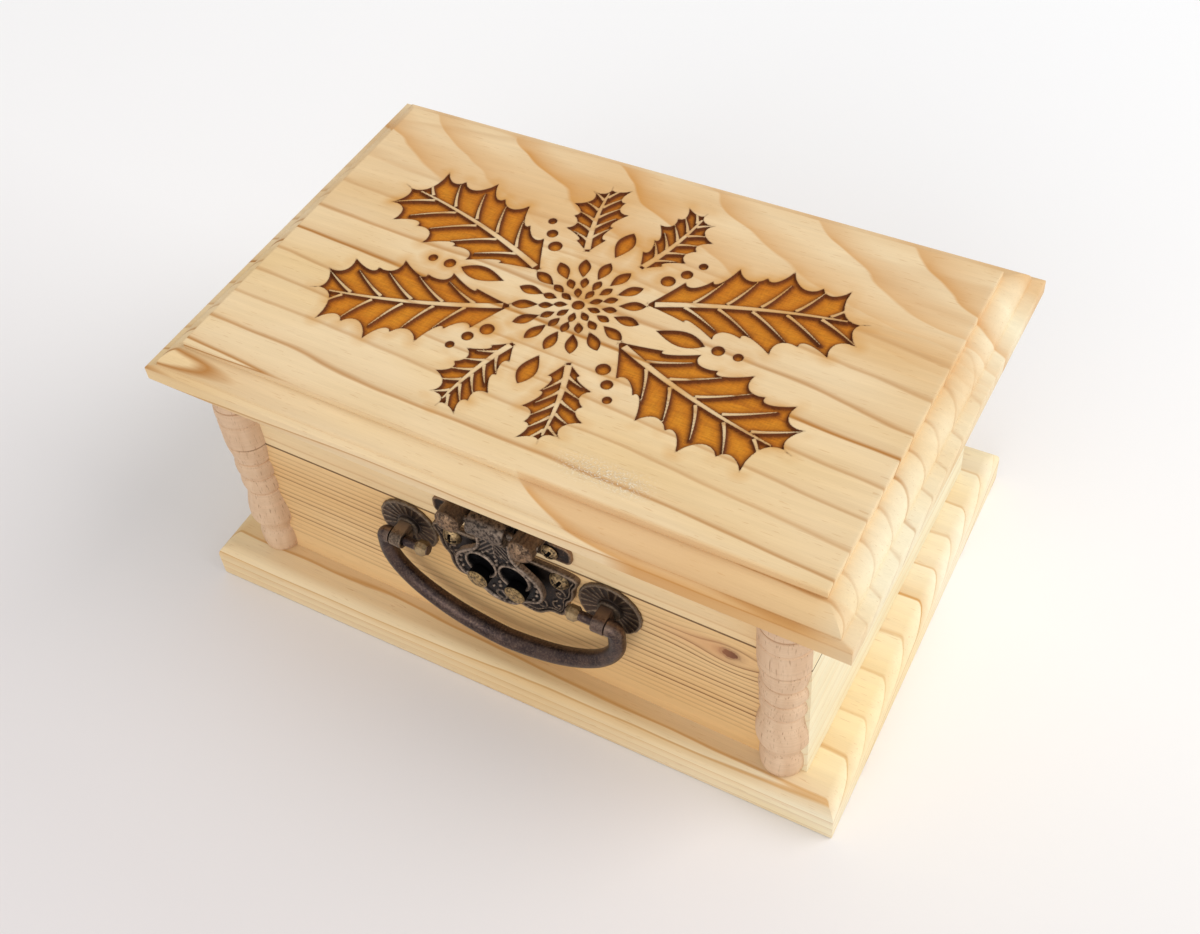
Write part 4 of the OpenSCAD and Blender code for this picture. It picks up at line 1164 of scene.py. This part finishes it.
def make_upper_plate():
    def height(x, y, inward):
        screws = np.hypot(np.abs(x) - UPPER_SCREW_AT[0], y - UPPER_SCREW_AT[1])
        rim = 0.25 * ridge(inward, 0.5, 0.5) * soft_step(screws, UPPER_SCREW[0], UPPER_SCREW[0] + 0.4)
        return PLATE_T - 0.25 + rim
    points, faces = relief([rounded_rect(*WINGS), rounded_rect(*BLOCK)], 0.4, 0, height)
    shells = Shells().add(points, faces, 0.3 * worn_by_height(points, 1.0, 1.2, 0))
    across, radius, out, cap = BOSS
    for side in (-1, 1):
        profile = [(radius, 0), (radius, out - cap - 0.3)]
        profile += [(r, out - cap + dome(r, 0, radius, cap)) for r in np.linspace(radius - 0.05, 0.15, 22)]
        boss, boss_faces = lathe(profile, 60)
        # Domes bright as rubbed metal; the bosses' sides darkened as the painted shadow of the lid's overhang
        worn = 1.3 * soft_step(boss[:, 2], out - cap - 0.2, out - cap + 0.5) - 0.4
        boss = hammered(boss, out - cap + 0.05, 0.45, SEED + 5 + side)
        shells.add(boss, boss_faces, worn, (side * across, HASP_PIN_UP, 0))
    shells.piece("clasp_plate_upper_worked", CLASP, BOSS_BRONZE, "lid", "clasp_plate_upper", "bronze")


# Handle

ROSETTE_R, ROSETTE_RIM, ROSETTE_DIP, HUB_R, HUB_H = 9.9, 1.2, 0.8, 3.6, 2.0
FLUTES = 20
POST_W, POST_EYE_R = 4.0, 2.7
# The post's stem runs back through the front wall
STEM_R, STEM_END = 2.2, 0.4 - WALL_T
BAIL_PIN_R = 1.5
BAIL_MID_R, BAIL_END_R, BAIL_DROP = 3.0, 2.5, 28.7
BAIL_GAP, BAIL_BEND = 0.45, 1.4
BAIL_REACH = POST_PITCH / 2 + POST_W / 2 + BAIL_GAP + BAIL_END_R
# The bail's right half, as shares of its reach and its drop
BAIL_HALF = [(0, -1), (0.14, -0.985), (0.26, -0.955), (0.39, -0.918), (0.52, -0.86), (0.65, -0.78),
             (0.78, -0.675), (0.885, -0.545), (0.96, -0.405), (1, -0.26), (1, -0.12), (1, -0.06)]
KNOB_INSET, KNOB_R, KNOB_W = 8.3, 2.4, 3.9
KNOB_FACETS = 9


def handle_place(side):
    """Where a rosette and its post sit on the front wall."""
    return (HANDLE_X + side * POST_PITCH / 2, PIVOT_Z)


def make_rosette(node, side):
    """Fluted dish with a scalloped rim and a raised hub."""
    dish = [(ROSETTE_R - 0.15, 0), (ROSETTE_R, 0.2), (ROSETTE_R, ROSETTE_RIM - 0.35),
            (ROSETTE_R - 0.3, ROSETTE_RIM - 0.05), (ROSETTE_R - 0.7, ROSETTE_RIM)]
    radii = np.linspace(ROSETTE_R - 1.2, HUB_R + 0.5, 14)
    slope = (radii - radii[-1]) / (radii[0] - radii[-1])
    dish += [(r, ROSETTE_DIP - 0.25 + (ROSETTE_RIM - ROSETTE_DIP) * s) for r, s in zip(radii, slope)]
    dish += [(HUB_R + 0.1, ROSETTE_DIP), (HUB_R, HUB_H - 0.3), (HUB_R - 0.3, HUB_H), (0.3, HUB_H)]
    points, faces = lathe(dish, FLUTES * 14)
    radius = np.hypot(points[:, 0], points[:, 1])
    fold = np.abs(np.cos(np.arctan2(points[:, 1], points[:, 0]) * FLUTES / 2)) ** 1.5
    fan = soft_step(radius, HUB_R + 0.4, HUB_R + 1.0)
    fan = fan * (1 - soft_step(radius, ROSETTE_R - 0.9, ROSETTE_R - 0.5)) * (points[:, 2] > 0.3)
    points[:, 2] += fan * 0.12 * fold
    scallop = soft_step(radius, ROSETTE_R - 1, ROSETTE_R) * 0.15 * (1 - fold)
    points[:, :2] *= (1 - scallop / np.maximum(radius, 1))[:, None]
    # Painted light on the rosette: flute crests bright as rubbed metal with painted highlights, the rim's
    # edge near black as painted shade, the hub near black as the painted shadow of the post
    worn = fan * fold ** 16 - 0.5 * (radius > ROSETTE_R - 0.5) - 0.6 * (radius < HUB_R + 0.2)
    shells = Shells().add(points, faces, worn)
    shells.piece(f"{node}_worked", handle_place(side), BRONZE_FAN, "case", node, "bronze")


def make_post(node, side, material):
    """Strap folded round the bail's pin, with its two legs side by side."""
    bore, slit = BAIL_PIN_R + PIN_PLAY, 0.2
    a = np.linspace(0, np.pi, 25)
    outer = [(POST_EYE_R * math.cos(t), PIVOT_OUT + POST_EYE_R * math.sin(t)) for t in a]
    gap = math.asin(slit / bore)
    b = np.linspace(-np.pi / 2 - gap, -2.5 * np.pi + gap, 33)
    inner = [(bore * math.cos(t), PIVOT_OUT + bore * math.sin(t)) for t in b]
    section = [(POST_EYE_R, HUB_H)] + outer + [(-POST_EYE_R, HUB_H), (-slit, HUB_H)] + inner + [(slit, HUB_H)]
    n = len(section)
    points = [(x, up, out) for x in (-POST_W / 2, POST_W / 2) for up, out in section]
    faces = [tuple(range(n)), tuple(range(2 * n - 1, n - 1, -1))]
    faces += [(i, i + n, (i + 1) % n + n, (i + 1) % n) for i in range(n)]
    shells = Shells().add(points, faces, 0.1)
    shells.add(*lathe([(STEM_R, STEM_END), (STEM_R, HUB_H + 0.01)], 24))
    obj = shells.piece(f"{node}_worked", handle_place(side), material, "case", node, "bronze")
    recalculate(obj)
    soften(obj, 0.35)


def recalculate(obj):
    work = bmesh.new()
    work.from_mesh(obj.data)
    bmesh.ops.recalc_face_normals(work, faces=work.faces)
    work.to_mesh(obj.data)
    work.free()


def bail_path():
    """Right half of the bail from its lowest point to its pin's end, with a radius at each point."""
    right = rounded(np.array(BAIL_HALF) * [BAIL_REACH, BAIL_DROP], 2)
    turn = np.radians(np.linspace(15, 90, 6))
    bend = np.column_stack([BAIL_REACH - BAIL_BEND * (1 - np.cos(turn)), -BAIL_BEND * (1 - np.sin(turn))])
    inner = POST_PITCH / 2 - KNOB_INSET - KNOB_W / 2 - 0.3
    straight = [(BAIL_REACH - BAIL_END_R - 0.05, 0), (BAIL_REACH - BAIL_END_R - 0.1, 0), (inner, 0)]
    right = np.concatenate([right, bend, straight])
    radii = [BAIL_END_R + (BAIL_MID_R - BAIL_END_R) * (1 - (x / BAIL_REACH) ** 2) for x, _ in right[:-2]]
    return right, np.array(radii + [BAIL_PIN_R, BAIL_PIN_R])


def make_bail():
    right, radii = bail_path()
    line = np.concatenate([(right * [-1, 1])[::-1], right[1:]])
    radii = np.concatenate([radii[::-1], radii[1:]])
    run = np.gradient(line, axis=0)
    run /= np.linalg.norm(run, axis=1)[:, None]
    steps = 28
    a = np.linspace(0, 2 * np.pi, steps, endpoint=False)
    points = np.concatenate([
        np.column_stack([x - run_y * r * np.cos(a), y + run_x * r * np.cos(a), r * np.sin(a)])
        for (x, y), (run_x, run_y), r in zip(line, run, radii)])
    last = (len(line) - 1) * steps
    faces = skin(len(line), steps) + [tuple(range(steps)), tuple(reversed(range(last, last + steps)))]
    shells = Shells().add(points, faces, 0, (0, 0, PIVOT_OUT))
    recalculate(shells.piece("bail_worked", (HANDLE_X, PIVOT_Z), BRONZE_BAIL, "bail", "bail", "bronze"))


def make_knobs():
    """Faceted knobs on the pins' ends."""
    shells = Shells()
    half = KNOB_W / 2
    ring = [(BAIL_PIN_R - 0.02, -half), (KNOB_R - 0.8, -half), (KNOB_R, -half / 2), (KNOB_R, half / 2),
            (KNOB_R - 0.8, half), (BAIL_PIN_R - 0.02, half)]
    for side in (-1, 1):
        shells.add(*collar(ring, KNOB_FACETS), 0.1, (side * (POST_PITCH / 2 - KNOB_INSET), 0, PIVOT_OUT))
    place = (HANDLE_X, PIVOT_Z)
    obj = shells.piece("bail_knobs_worked", place, BRASS, "bail", "bail_knobs", "worn_brass", 10)
    recalculate(obj)
    soften(obj, 0.25)


# Camera, lights and floor

def make_camera():
    azimuth, elevation, roll = (math.radians(v) for v in (CAMERA_AZIMUTH, CAMERA_ELEVATION, CAMERA_ROLL))
    back = Vector((math.sin(azimuth) * math.cos(elevation), -math.cos(azimuth) * math.cos(elevation),
                   math.sin(elevation)))
    right = (-back).cross(Vector((0, 0, 1))).normalized()
    up = right.cross(-back)
    rolled_right = math.cos(roll) * right + math.sin(roll) * up
    rolled_up = -math.sin(roll) * right + math.cos(roll) * up
    data = bpy.data.cameras.new("camera")
    data.sensor_fit = "HORIZONTAL"
    data.sensor_width = SENSOR
    data.lens = FOCAL_PX / IMAGE_W * SENSOR
    data.shift_x = (IMAGE_W / 2 - CENTRE_PX[0]) / IMAGE_W
    data.shift_y = (CENTRE_PX[1] - IMAGE_H / 2) / IMAGE_W
    camera = bpy.data.objects.new("camera", data)
    bpy.context.scene.collection.objects.link(camera)
    place_at = (Vector(CAMERA_TARGET) + back * CAMERA_DISTANCE) * MM
    camera.matrix_world = Matrix((
        (rolled_right.x, rolled_up.x, back.x, place_at.x),
        (rolled_right.y, rolled_up.y, back.y, place_at.y),
        (rolled_right.z, rolled_up.z, back.z, place_at.z),
        (0, 0, 0, 1)))
    bpy.context.scene.camera = camera


def lamp(name, direction, distance, size, power, colour):
    data = bpy.data.lights.new(name, "AREA")
    data.shape = "DISK"
    data.size = size
    data.energy = power
    data.color = colour
    obj = bpy.data.objects.new(name, data)
    bpy.context.scene.collection.objects.link(obj)
    obj.location = Vector(direction).normalized() * distance
    obj.rotation_mode = "QUATERNION"
    obj.rotation_quaternion = Vector(direction).to_track_quat("Z", "Y")


def make_lights():
    world = bpy.data.worlds.new("studio")
    bpy.context.scene.world = world
    world.use_nodes = True
    tree = world.node_tree
    background = tree.nodes["Background"]
    background.inputs["Color"].default_value = (0.97, 0.98, 1.0, 1)
    background.inputs["Strength"].default_value = 0.62
    backdrop = tree.nodes.new("ShaderNodeBackground")
    backdrop.inputs["Color"].default_value = (1, 1, 1, 1)
    backdrop.inputs["Strength"].default_value = 1.0
    seen = tree.nodes.new("ShaderNodeMixShader")
    tree.links.new(tree.nodes.new("ShaderNodeLightPath").outputs["Is Camera Ray"], seen.inputs[0])
    tree.links.new(background.outputs[0], seen.inputs[1])
    tree.links.new(backdrop.outputs[0], seen.inputs[2])
    tree.links.new(seen.outputs[0], tree.nodes["World Output"].inputs["Surface"])
    lamp("window", (0.7, 0.3, 0.65), 5.0, 4.5, 143, (1.0, 0.99, 0.97))
    lamp("fill", (0.1, -1.0, 0.5), 5.0, 4.0, 74, (1.0, 0.985, 0.975))
    bpy.context.scene.view_settings.view_transform = "Standard"


# In metres
FLOOR_HALF = 4.0
FLOOR_GAP = 0.0001


def make_floor():
    """Pale ground with painted shade: a little darker in front and to the left, as the lamp's light falls
    off.
    """
    g = Graph("floor_paint")
    split = g.node("SeparateXYZ", {0: g.position()})
    # Painted shade: the ground's colour darkens towards the front and left
    back = g.line(split.outputs["X"], 0.12, split.outputs["Y"])
    place = g.line(back, 1 / 800, 0.5, clamp=True)
    colour = g.ramp(place, [(0.1, srgb(227, 222, 222)), (0.28, srgb(229, 224, 223)),
                            (0.55, srgb(247, 245, 244)), (1.0, srgb(250, 250, 250))])
    far = g.node("VectorMath", {0: g.position()}, operation="LENGTH").outputs["Value"]
    colour = g.mix(g.line(far, 1 / 1000, -0.8, clamp=True), colour, srgb(250, 250, 250))
    tone = g.noise(g.position((0.02, 0.02, 0.02)), 2)
    material = g.finish(colour, 0.9, tone, 0.01, **{"Specular IOR Level": 0.1})
    data = bpy.data.meshes.new("floor")
    corners = [(x * FLOOR_HALF, y * FLOOR_HALF, 0) for x, y in ((-1, -1), (1, -1), (1, 1), (-1, 1))]
    data.from_pydata(corners, [], [(0, 1, 2, 3)])
    data.materials.append(material)
    floor = bpy.data.objects.new("floor", data)
    bpy.context.scene.collection.objects.link(floor)
    floor.location.z = CAD_BOX[0].z - FLOOR_GAP


# Dressing

WALL_ARRIS = 0.12

PINE_LID = carved_pine("pine_lid")
PINE_BASE = base_pine("pine_base")
PINE_FRONT = knotty_pine("pine_front")
PINE_BACK = pine("pine_back", GRAIN_X_UPRIGHT, early=(232, 198, 148), late=(186, 130, 76), seed=51.0,
                 warm=(226, 184, 126), apex=90.0, pitch=5.0, depth_pitch=4.0, wander=5.0)
PINE_RAIL = pine("pine_rail", GRAIN_X_UPRIGHT, early=(232, 204, 158), late=(186, 132, 78), seed=31.0,
                 warm=(226, 188, 134), apex=150.0, pitch=7.0, depth_pitch=4.0, wander=3.0)
PINE_SIDE = pine("pine_side", GRAIN_Y_UPRIGHT, early=(239, 230, 200), late=(222, 188, 134), seed=41.0,
                 warm=(236, 220, 180), apex=170.0, pitch=6.0, depth_pitch=5.0, wander=3.0, strength=0.5)
BEECH = beech("beech")
BRONZE = metal("bronze", (18, 15, 16), (42, 35, 34), (166, 146, 128))
BRONZE_BLUE = metal("bronze_blue", (34, 28, 27), (62, 50, 44), (156, 134, 112), seed=3.0)
BRONZE_FAN = metal("bronze_fan", (54, 43, 37), (86, 68, 56), (170, 146, 118), rough=(0.3, 0.5), specks=0.2,
                   seed=6.0)
BRONZE_BAIL = metal("bronze_bail", (54, 43, 43), (86, 69, 63), (132, 110, 94), rough=(0.3, 0.45), pits=0.3,
                    specks=0.15, seed=5.0)
BOSS_BRONZE = metal("bronze_boss", (30, 22, 20), (56, 42, 36), (156, 126, 98), rough=(0.36, 0.6), seed=7.0)
BRASS = metal("worn_brass", (66, 52, 38), (104, 84, 60), (176, 150, 112), seed=9.0)
RIVET_BRASS = metal("worn_brass_rivet", (26, 21, 20), (44, 36, 30), (178, 148, 100), seed=12.0)
SCREW_BRASS = metal("worn_brass_screw", (34, 28, 25), (62, 50, 40), (190, 160, 116), seed=14.0)

dress("wall_front", PINE_FRONT, WALL_ARRIS)
dress("wall_back", PINE_BACK, WALL_ARRIS)
for rail in ("rail_front", "rail_back"):
    dress(rail, PINE_RAIL, WALL_ARRIS)
for wall in ("wall_left", "wall_right", "rail_left", "rail_right"):
    dress(wall, PINE_SIDE, WALL_ARRIS)
for part in ("hinge_leaf_case_left", "hinge_leaf_case_right", "hinge_leaf_lid_left", "hinge_leaf_lid_right",
             "clasp_pin", "hasp_spring", "handle_nuts"):
    dress(part, BRONZE, 0.1)
for part in ("hinge_pins", "hinge_screws_case", "hinge_screws_lid"):
    dress(part, BRASS)

lid_piece(PINE_LID)
base_piece(PINE_BASE)
for side, word in ((-1, "left"), (1, "right")):
    half_column(f"column_turned_lower_{word}", side, lower_turning(), BEECH, "case", f"column_lower_{word}")
    half_column(f"column_turned_upper_{word}", side, upper_turning(), BEECH, "lid", f"column_upper_{word}")
    make_rosette(f"rosette_{word}", side)
make_hasp()
make_rivets()
make_upper_plate()
make_lower_plate()
make_screws("clasp_screws_upper", UPPER_SCREW_AT, UPPER_SCREW, "lid")
make_screws("clasp_screws_lower", LOWER_SCREW_AT, LOWER_SCREW, "case")
# The left post takes the darker bronze as painted shade, for it stands in shadow; the right one takes the
# bail's bronze
make_post("handle_post_left", -1, BRONZE_BLUE)
make_post("handle_post_right", 1, BRONZE_BAIL)
make_bail()
make_knobs()

make_camera()
make_lights()
make_floor()
